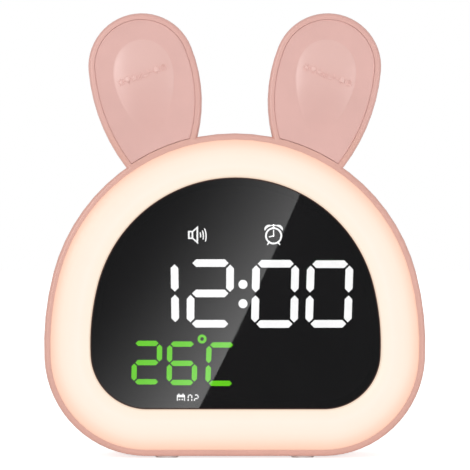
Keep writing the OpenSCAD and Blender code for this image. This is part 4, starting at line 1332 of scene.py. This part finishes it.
@dataclass
class Display:
    """The dark lens, the figures behind it, and the display's housing and board.

    Each entry of a row of figures gives the lit bars, the place, the size and the slant of one figure.
    """

    finishes: Finishes
    outline: BodyOutline
    depths: Depths
    lens_inset: float = 16.75
    lens_edge: float = 0.06
    edge_band: float = 0.36
    print_width: float = 3.0
    time: Figure = Figure(17.4, 25.3, 2.8)
    degrees: Figure = Figure(11.15, 16.05, 1.92, 0.52)
    small: Figure = Figure(1.75, 3.0, 0.42, 0.1)
    time_middle: Point = (2.9, 60.5)
    time_row: tuple[tuple[str, Point, float, float], ...] = (
        ("bc", (-32.2, 0.17), 0.996, -0.9), ("abged", (-11.9, 0.07), 0.993, 0.3),
        ("abcdef", (11.94, -0.1), 0.987, 1.3), ("abcdef", (31.87, -0.15), 0.978, 1.8))
    colon_middle: Point = (3.03, 60.35)
    colon_rise: float = 3.55
    colon_r: float = 1.66
    round_steps: int = 40
    hole_steps: int = 24
    degrees_middle: Point = (-19.4, 34.85)
    degrees_tilt: float = 1.2
    degrees_row: tuple[tuple[str, float, float], ...] = (
        ("abged", -12.95, 0.7), ("acdefg", 0.0, 0.9), ("adef", 14.35, 2.0))
    degree_ring: Point = (7.375, 8.935)
    degree_ring_r: Pair = (0.68, 1.64)
    date_middle: Point = (-16.8, 21.9)
    date_places: tuple[float, ...] = (-3.0, 0.35, 2.65)
    marks_height: float = 82.2
    sound_x: float = -13.6
    alarm_x: float = 14.3

    def lens(self) -> None:
        """Builds the lens, with a rounded front edge."""
        piece = Piece("smoked_lens")
        inset, front, back = self.lens_inset, self.depths.lens_front, self.depths.lens_back
        rows = [(inset + self.print_width, back), (inset, back),
                *edge_rows(inset, front, self.lens_edge, 6, Facing.FRONT),
                (inset + self.lens_edge + self.edge_band, front)]
        piece.skin([[(x + LENS_SHIFT[0], depth, z + LENS_SHIFT[1]) for x, z in self.outline.loop(inset)]
                    for inset, depth in rows])
        # The first strip is the printed border, the last is a dark brown band round the front, painted shade
        # in place of the shade at the lens's edge;
        # the face before the last is the clear back
        border, sides = len(self.outline.loop(0)), len(piece.faces) - 2
        piece.other_finish = ({k: 2 for k in range(border)} | {k: 3 for k in range(sides - border, sides)}
                              | {sides: 1})
        glass, *more = [self.finishes.of(name)
                        for name in ("smoked_acrylic", "acrylic_back", "black_print", "brown_painted_shade")]
        piece.build(glass, Body.CLOCK, "lens", ["display_lens"], crease=50, more=more)

    @staticmethod
    def figures(figure: Figure, middle: Point, row: Iterable[tuple[str, Point, float, float]]) -> Stencil:
        """Draws a row of figures.

        Args:
            figure: Their usual size.
            middle: Where the row's places start from.
            row: The figures.

        Returns:
            Their lit bars.
        """
        made = Stencil()
        for lit, (right, up), size, slant in row:
            place = (middle[0] + right, middle[1] + up)
            made = made.plus(figure.changed(size, slant).bars(lit).placed(place))
        return made

    def time_figures(self) -> Stencil:
        """Draws the time with its colon.

        Returns:
            The lit bars and dots.
        """
        made = self.figures(self.time, self.time_middle, self.time_row)
        x, z = self.colon_middle
        for side in (-1, 1):
            made.add(disc((x, z + side * self.colon_rise), self.colon_r, self.round_steps))
        return made

    def degree_figures(self) -> Stencil:
        """Draws the temperature with the degree ring.

        Returns:
            The lit bars and the ring.
        """
        lean = math.tan(math.radians(self.degrees_tilt))
        row = [(lit, (right, -right * lean), 1.0, slant) for lit, right, slant in self.degrees_row]
        made = self.figures(self.degrees, self.degrees_middle, row)
        ring = (self.degrees_middle[0] + self.degree_ring[0], self.degrees_middle[1] + self.degree_ring[1])
        hole, rim = self.degree_ring_r
        return made.add(disc(ring, rim, self.round_steps), disc(ring, hole, self.hole_steps))

    def status_marks(self) -> Stencil:
        """Draws the sound, alarm and date marks.

        Returns:
            The marks.
        """
        x, z = self.date_middle
        page, tens, ones = [(x + right, z) for right in self.date_places]
        made = Stencil()
        for mark, place in ((Marks.sound(), (self.sound_x, self.marks_height)),
                            (Marks.alarm(), (self.alarm_x, self.marks_height)), (Marks.calendar(), page),
                            (self.small.bars("abcdef"), tens), (self.small.bars("abged"), ones)):
            made = made.plus(mark.placed(place))
        return made

    def build(self) -> None:
        """Builds the lens and the lit figures, and dresses the rest."""
        self.lens()
        for name, stencil, finish, slot, node in (
                ("time_bars", self.time_figures(), "white_light", "segment_white", "time_segments"),
                ("temperature_bars", self.degree_figures(), "green_light", "segment_green",
                 "temperature_segments"),
                ("status_marks", self.status_marks(), "white_light", "segment_white", "status_icons")):
            piece = Piece(name)
            piece.plates(stencil, self.depths.figures)
            piece.build(self.finishes.of(finish), Body.CLOCK, slot, [node])
        self.finishes.dress({
            "housing_black": ["display_housing"], "unlit_bar": ["unlit_segments"], "tape": ["lens_adhesive"],
            "green_board": ["display_board"], "lamp_window": ["display_leds"],
            "steel": ["display_board_screws"]})


@dataclass
class EarKeys:
    """The two panels in the ears, which press in, and what they work on."""

    finishes: Finishes
    ear: EarOutline
    depths: Depths
    inset: float = 2.36
    gap: float = 0.09
    edge: float = 0.14
    back_edge: float = 0.25
    dish: float = 0.28
    pad_middle: Point = (-7.7, 1.35)
    pad_turn: float = 12.5
    pad_up: float = 17.65
    pad_out: float = 10.55
    pad_swell: float = 0.3
    pad_limit: float = 30.0
    rise: float = 1.03
    rise_power: float = 0.9
    crown_power: float = 2.8
    pin_places: tuple[Point, ...] = ((3.2, -12.2), (3.2, 12.2), (-21.6, 3.0))
    pin_r: float = 1.4
    pin_head_r: float = 1.95
    pin_head_thick: float = 1.0
    pin_edge: float = 0.2
    pin_play: float = 0.2
    pin_root: float = 0.05
    marks_middle: Point = (-3.05, 0.9)
    marks_rise: float = 0.3
    marks_space: float = 0.22
    marks_size: float = 0.97
    marks_edge: float = 0.09
    face_steps: int = 16
    pad_steps: int = 20
    pin_steps: int = 28
    halvings: int = 30

    def pad_reach(self, turn: float) -> float:
        """Finds how far the pad's edge lies from its middle.

        Args:
            turn: Direction in degrees, clockwise from the pad's own long axis.

        Returns:
            The distance.
        """
        way = heading(turn)
        low, high = 0.0, self.pad_limit
        for _ in range(self.halvings):
            middle = (low + high) / 2
            up, out = middle * way[1] / self.pad_up, middle * way[0]
            wide = self.pad_out * (1 + self.pad_swell * max(-1.0, min(1.0, up)))
            if up ** 2 + (out / wide) ** 2 < 1:
                low = middle
            else:
                high = middle
        return low

    def local(self, x: float, z: float) -> Pair:
        """Finds where a place on the right ear lies from the pad's middle.

        Args:
            x: The place in X.
            z: The place in Z.

        Returns:
            Its distance, and its direction from the pad's long axis.
        """
        middle = self.ear.place(*self.pad_middle)
        turn = math.degrees(math.atan2(x - middle[0], z - middle[1])) - self.ear.lean + self.pad_turn
        return math.dist((x, z), middle), turn

    def depth(self, share: float, turn: float) -> float:
        """Finds the depth of the pad's face, which sinks into the dish towards its foot.

        Args:
            share: Way from the pad's middle to its edge, 0 to 1.
            turn: Direction from the pad's long axis.

        Returns:
            The depth.
        """
        up = share * self.pad_reach(turn) * heading(turn)[1]
        full = min(1.0, max(0.0, (up + self.pad_up) / self.pad_up)) ** self.rise_power
        return self.depths.key_front + self.dish - self.rise * full * (1 - share ** self.crown_power)

    def surface(self, x: float, z: float) -> float:
        """Returns how far the pad's face lies from the panel's edge, as a change of depth."""
        away, turn = self.local(x, z)
        return self.depth(min(1.0, away / self.pad_reach(turn)), turn) - self.depths.key_front

    def panel(self, name: str) -> Piece:
        """Builds the right panel: plate, rounded edge, face, pad and guide pins.

        Args:
            name: Name of the piece.

        Returns:
            The piece.
        """
        piece = Piece(name)
        front, back = self.depths.key_front, self.depths.key_back
        rows = [(self.back_edge, back), (0.0, back - self.back_edge),
                *edge_rows(0.0, front, self.edge, 5, Facing.FRONT)]
        numbers = [piece.ring((x, depth, z) for x, z in self.ear.key(self.inset + inset, self.gap + inset))
                   for inset, depth in rows]
        mx, mz = self.ear.place(*self.pad_middle)
        face = self.ear.key(self.inset + self.edge, self.gap + self.edge)
        polar = [(*self.local(x, z), self.pad_reach(self.local(x, z)[1])) for x, z in face]
        # The face runs from the panel's edge down to the pad's, and the pad rises to its middle
        for step in range(1, self.face_steps + 1):
            share = step / self.face_steps
            depth = front + self.dish * math.sin(share * math.pi / 2)
            numbers.append(piece.ring(
                (mx + (x - mx) * k, depth, mz + (z - mz) * k)
                for (x, z), (away, _, reach) in zip(face, polar)
                for k in [(1 - share) + share * reach / away]))
        for step in range(1, self.pad_steps):
            share = 1 - step / self.pad_steps
            numbers.append(piece.ring(
                (mx + (x - mx) * share * reach / away, self.depth(share, turn),
                 mz + (z - mz) * share * reach / away)
                for (x, z), (away, turn, reach) in zip(face, polar)))
        piece.faces.append(tuple(numbers[0]))
        for first, second in zip(numbers, numbers[1:]):
            piece.strip(first, second)
        top = piece.ring([(mx, self.depth(0.0, 0.0), mz)])[0]
        last = numbers[-1]
        piece.faces.extend((last[i], top, last[(i + 1) % len(last)]) for i in range(len(last)))
        count = len(piece.faces)
        # The pad's faces take the second finish, painted lighter towards the top: a painted highlight
        piece.other_finish = {k: 1 for k in range(count - self.pad_steps * len(last), count)}
        head = self.depths.ear_floor_back + self.pin_play
        head_end = head + self.pin_head_thick
        for up, out in self.pin_places:
            piece.turned(self.ear.place(up, out), [
                (self.pin_r, back - self.pin_root), (self.pin_r, head), (self.pin_head_r, head),
                (self.pin_head_r, head_end), (self.pin_head_r - self.pin_edge, head_end + self.pin_edge)],
                self.pin_steps)
        return piece

    def marks(self, side: int) -> Piece:
        """Builds the raised pictograms of one ear.

        Args:
            side: 1 for the right ear, -1 for the left one.

        Returns:
            The piece.
        """
        row = (Marks.sun(), Marks.bulb(), Marks.star(), Marks.bars(), Marks.moon(), Marks.dash(),
               Marks.bell(), Marks.dial())
        widths = [mark.width() * self.marks_size for mark in row]
        at = -(sum(widths) + self.marks_space * (len(row) - 1)) / 2
        piece = Piece("ear_marks_right" if side > 0 else "ear_marks_left")
        up, out = self.marks_middle
        for mark, width in zip(row, widths):
            place = self.ear.place(up, out + side * (at + width / 2))
            at += width + self.marks_space
            piece.plates(mark.placed((side * place[0], place[1]), self.marks_size, side * self.ear.lean),
                         self.depths.key_front - self.marks_rise, edge=self.marks_edge,
                         surface=lambda x, z: self.surface(side * x, z))
        return piece

    def build(self) -> None:
        """Builds both panels with their pictograms, and dresses what they work on."""
        of = self.finishes.of
        right = self.panel("ear_panel_right")
        ears = (("right", 1, Body.RIGHT_KEY, right),
                ("left", -1, Body.LEFT_KEY, right.mirrored("ear_panel_left")))
        for name, _, body, panel in ears:
            panel.build(of("key_plastic"), body, "key", [f"ear_key_{name}"], crease=24,
                        more=[of("pad_painted_highlight")])
        for name, side, body, _ in ears:
            # The pictograms' finish is painted lighter than the key: painted light
            self.marks(side).build(of("mark_painted_light"), body, "key", crease=40)
            self.finishes.dress({"black_plastic": [f"ear_plunger_{name}", f"ear_switch_{name}"],
                                 "green_board": [f"ear_board_{name}"], "white_sheath": [f"ear_lead_{name}"]})
        self.finishes.dress({"steel": ["ear_board_screws"]})


@dataclass
class RearControls:
    """The four buttons on the back, the sockets and the marks beside them."""

    finishes: Finishes
    depths: Depths
    row: float = 53.95
    socket_row: float = 36.45
    pitch: float = 18.0
    length: float = 13.0
    height: float = 7.0
    flange: float = 1.3
    flange_depths: Pair = (20.0, 21.2)
    stem_r: float = 2.7
    stem_end: float = 18.8
    stem_root: float = 0.05
    face: float = 24.8
    edge: float = 0.6
    dish: float = 0.25
    dish_end: float = 0.3
    mark_rise: float = 0.14
    end_steps: int = 18
    panel_rise: float = 0.2
    bolt_x: float = 8.2
    off_x: float = -30.6
    off_size: float = 0.9
    on_x: float = -17.4

    def pill(self, x: float, inset: float, depth: float) -> list[Spot]:
        """Draws a round-ended outline at a button's place, moved in.

        Args:
            x: Middle of the button.
            inset: How far in.
            depth: Its depth.

        Returns:
            The closed ring.
        """
        radius, half = self.height / 2 - inset, (self.length - self.height) / 2
        flat = ([moved((x + half, self.row), radius, a) for a in sweep(0, 180, self.end_steps)]
                + [moved((x - half, self.row), radius, a) for a in sweep(180, 360, self.end_steps)])
        return [(a, depth, b) for a, b in flat]

    def button(self, name: str, x: float) -> Piece:
        """Builds one button with its flange, rounded edge, dished face and stem.

        Args:
            name: Name of the piece.
            x: Middle of the button.

        Returns:
            The piece.
        """
        piece = Piece(name)
        low, high = self.flange_depths
        rows = [(-self.flange, low), (-self.flange, high), (0.0, high),
                *edge_rows(0.0, self.face, self.edge, 6, Facing.BACK)]
        for share in sweep(0, 1, 5)[1:]:
            inset = self.edge + share * (self.height / 2 - self.edge - self.dish_end)
            rows.append((inset, self.face - self.dish * math.sin(share * math.pi / 2) ** 2))
        piece.skin([self.pill(x, inset, depth) for inset, depth in rows])
        piece.turned((x, self.row), [(self.stem_r, self.stem_end), (self.stem_r, low + self.stem_root)])
        return piece

    def build(self) -> None:
        """Builds the buttons and marks, and dresses the sockets, switch and feet."""
        of = self.finishes.of
        rows = (("mode", Body.MODE_KEY, Marks.loop_arrow()), ("alarm", Body.ALARM_KEY, Marks.bell()),
                ("up", Body.UP_KEY, Marks.plus()), ("down", Body.DOWN_KEY, Marks.minus()))
        for k, (name, body, mark) in enumerate(rows):
            x = (k - 1.5) * self.pitch
            self.button(f"{name}_key_cap", x).build(of("key_plastic"), body, "key", [f"{name}_button"])
            piece = Piece(f"{name}_key_mark")
            piece.plates(mark.placed((-x, self.row)), self.face - self.dish + self.mark_rise, Facing.BACK)
            piece.build(of("white_plastic"), body, "white_part", crease=40)
        piece = Piece("panel_marks")
        for mark, x, size in ((Marks.bolt(), self.bolt_x, 1.0), (Marks.off_mark(), self.off_x, self.off_size),
                              (Marks.on_mark(), self.on_x, 1.0)):
            piece.plates(mark.placed((-x, self.socket_row), size), self.depths.panel + self.panel_rise,
                         Facing.BACK)
        piece.build(of("white_plastic"), Body.CLOCK, "white_part", crease=40)
        self.finishes.dress({
            "black_plastic": [*(f"{name}_plunger" for name, _, _ in rows), "usb_tongue",
                              "battery_switch_knob", "button_switches"],
            "steel": ["usb_socket", "battery_switch"], "sensor_glass": ["temperature_sensor"],
            "foot_rubber": ["rubber_feet"]})


@dataclass
class Inside:
    """The main board, battery, loudspeaker and leads."""

    finishes: Finishes

    def build(self) -> None:
        """Gives every inner part its finish."""
        self.finishes.dress({
            "green_board": ["main_board"], "chip_resin": ["board_components"],
            "steel": ["main_board_screws", "speaker_screws"], "cell_wrap": ["battery_cell"],
            "black_plastic": ["battery_cradle"], "dark_steel": ["speaker_basket"],
            "cone_paper": ["speaker_cone"], "magnet_plating": ["speaker_magnet"],
            "seal_foam": ["speaker_gasket"], "dust_mesh": ["speaker_mesh"], "red_sheath": ["speaker_lead"],
            "black_sheath": ["battery_lead"], "ribbon_film": ["display_ribbon"]})


# ---------------------------------------------------------------------------------------------- the studio


@dataclass
class Studio:
    """Floor, background, lights, the card that shows in the lens, and the camera.

    How far things stand away, the floor's and the lamps' sizes and the camera's range are in metres.
    """

    rim_depth: float = -24.0
    camera_away: float = 1.2
    camera_place: Point = (0.09, 82.06)
    camera_range: Pair = (0.01, 50)
    view_width: float = 172.6
    sensor: float = 36.0
    ambient: float = 0.58
    sun_level: float = 0.08
    sun_from: Spot = (-0.1, -1.0, 0.4)
    sun_angle: float = 40.0
    lamps: tuple[tuple[str, Spot, float, float, float], ...] = (
        ("softbox", (-0.46, -0.9, 0.02), 3.3, 0.24, 0.66), ("fill", (0.6, -0.85, -0.03), 1.9, 0.8, 0.3))
    lamp_away: float = 1.1
    floor_half: float = 6
    floor_colour: float = 0.94
    floor_drift: float = 0.01
    floor_extra: float = 0.7
    card_away: float = 0.25
    card_half: float = 85
    card_heights: Pair = (2, 135)
    card_line: tuple[Point, Point] = ((24.3, 97.85), (-13.1, 18.5))
    card_level: float = 2.68
    card_falloff: float = 2.25
    card_reach: float = 55.0
    card_over: float = 7.5
    card_bow: float = 0.74
    card_turn: float = 0.213
    card_even: float = 76.5

    @staticmethod
    def seen(recipe: Recipe) -> Socket:
        """Finds the rays that show the background: straight, reflected and through glass.

        Args:
            recipe: Node tree that uses it.

        Returns:
            1 for these rays and 0 for the others.
        """
        rays = recipe.node("LightPath").outputs
        some = recipe.calc("MAXIMUM", rays["Is Camera Ray"], rays["Is Glossy Ray"])
        return recipe.calc("MAXIMUM", some, rays["Is Transmission Ray"])

    def room(self) -> None:
        """Makes the even white surroundings."""
        recipe = Recipe("white_room", world=True)
        level = recipe.spread(self.seen(recipe), 0, 1, self.ambient, 1.0)
        back = recipe.node("Background", {"Color": (1, 1, 1, 1), "Strength": level})
        bpy.context.scene.world = recipe.end(back)

    def floor(self) -> None:
        """Makes the plain pale floor, which shows white and keeps the clock's shadow."""
        recipe = Recipe("pale_floor")
        cloud = recipe.uneven(recipe.noise(3, 2), self.floor_colour - self.floor_drift,
                              self.floor_colour + self.floor_drift)
        shade = recipe.node("CombineColor", {0: cloud, 1: cloud, 2: cloud})
        matt = recipe.node("BsdfDiffuse", {"Color": shade.outputs[0]})
        extra = recipe.node("Emission", {"Strength": recipe.times(self.seen(recipe), self.floor_extra)})
        both = recipe.node("AddShader", {0: matt.outputs[0], 1: extra.outputs[0]})
        far = self.floor_half
        corners = [(-far, -far, 0), (far, -far, 0), (far, far, 0), (-far, far, 0)]
        self.board("floor", corners, recipe.end(both))

    @staticmethod
    def board(name: str, corners: Sequence[Spot], material: bpy.types.Material) -> bpy.types.Object:
        """Makes a flat board that belongs to the studio.

        Args:
            name: Its name.
            corners: Its corners in metres.
            material: Its finish.

        Returns:
            The board.
        """
        mesh = bpy.data.meshes.new(name)
        mesh.from_pydata(corners, [], [(0, 1, 2, 3)])
        mesh.materials.append(material)
        made = bpy.data.objects.new(name, mesh)
        bpy.context.scene.collection.objects.link(made)
        return made

    def card(self) -> None:
        """Makes the card in front of the clock that only shows as a reflection in polished faces."""
        # The card's mirror image lies behind the lens, so it is larger than what it covers on the lens
        grow = 1 + self.card_away / self.camera_away
        cx, cz = self.camera_place
        (x0, z0), (x1, z1) = [(cx + (x - cx) * grow, cz + (z - cz) * grow) for x, z in self.card_line]
        length = math.dist((x0, z0), (x1, z1))
        nx, nz = (z1 - z0) / length, -(x1 - x0) / length
        recipe = Recipe("reflector_card")
        calc, times, x, z = recipe.calc, recipe.times, recipe.axis("X"), recipe.axis("Z")
        # How far a place lies to the left, square to the slanting line, and the same for the line itself
        side, offset = calc("ADD", times(x, nx), times(z, nz)), (x0 * nx + z0 * nz) * MM
        # The card's edge is bowed a little towards its dark side
        along = calc("DIVIDE", calc("SUBTRACT", z, (z0 + z1) / 2 * MM), (z0 - z1) / 2 * MM)
        bow = times(calc("SUBTRACT", 1.0, times(along, along)), self.card_bow * grow * MM)
        side = calc("ADD", side, bow)
        # The light fades across the card in a direction that is turned from the line's
        even = (cz + (self.card_even - cz) * grow) * MM
        fade = calc("ADD", side, times(calc("SUBTRACT", z, even), self.card_turn))
        reach, over = self.card_reach * grow * MM, self.card_over * grow * MM
        share = recipe.spread(fade, offset - over, offset + reach, 1 + over / reach, 0.0)
        level = times(calc("POWER", share, self.card_falloff), self.card_level)
        glow = recipe.node("Emission", {"Strength": times(calc("GREATER_THAN", side, offset), level)})
        half, y = self.card_half * MM, self.rim_depth * MM - self.card_away
        low, high = [height * MM for height in self.card_heights]
        card = self.board("card", [(-half, y, low), (half, y, low), (half, y, high), (-half, y, high)],
                          recipe.end(glow))
        card.visible_camera = card.visible_diffuse = card.visible_shadow = False
        card.visible_transmission = card.visible_volume_scatter = False

    def lights(self) -> None:
        """Hangs a wide soft light over the front, a softbox on the left and a weaker fill on the right."""
        lamp = bpy.data.lights.new("overhead", "SUN")
        lamp.energy = self.sun_level
        lamp.angle = math.radians(self.sun_angle)
        self.hang(lamp, Vector(self.sun_from))
        for name, way, power, width, height in self.lamps:
            lamp = bpy.data.lights.new(name, "AREA")
            lamp.shape = "ELLIPSE"
            lamp.size, lamp.size_y = width, height
            lamp.energy = power
            holder = self.hang(lamp, Vector(way))
            holder.location = Vector(way).normalized() * self.lamp_away + Vector((0, 0, height / 2))

    @staticmethod
    def hang(lamp: bpy.types.Light, way: Vector) -> bpy.types.Object:
        """Adds a lamp that shines against a direction.

        Args:
            lamp: The lamp.
            way: Direction from the clock to the lamp.

        Returns:
            Its object.
        """
        holder = bpy.data.objects.new(lamp.name, lamp)
        holder.rotation_euler = way.to_track_quat("Z", "Y").to_euler()
        bpy.context.scene.collection.objects.link(holder)
        return holder

    def camera(self) -> None:
        """Stands the camera square in front of the clock."""
        lens = bpy.data.cameras.new("camera")
        lens.sensor_width = self.sensor
        lens.lens = self.sensor * self.camera_away / (self.view_width * MM)
        lens.clip_start, lens.clip_end = self.camera_range
        holder = bpy.data.objects.new("camera", lens)
        x, z = self.camera_place
        holder.location = (x * MM, self.rim_depth * MM - self.camera_away, z * MM)
        holder.rotation_euler = (math.radians(90), 0, 0)
        bpy.context.scene.collection.objects.link(holder)
        bpy.context.scene.camera = holder

    def build(self) -> None:
        """Sets up the whole studio."""
        self.room()
        self.floor()
        self.card()
        self.lights()
        self.camera()
        bpy.context.scene.view_settings.view_transform = "Standard"
        LOG.info("studio: room, floor, card, lights and camera")


def main() -> None:
    """Builds the clock from its sub-assemblies, then the studio."""
    logging.basicConfig(level=logging.INFO, format="%(message)s")
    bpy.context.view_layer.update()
    finishes, body, depths = Finishes(), BodyOutline(), Depths()
    for part in (Shells(finishes), LightRing(finishes, body, depths), Display(finishes, body, depths),
                 EarKeys(finishes, EarOutline(body), depths), RearControls(finishes, depths),
                 Inside(finishes), Studio()):
        part.build()


if __name__ == "__main__":
    main()
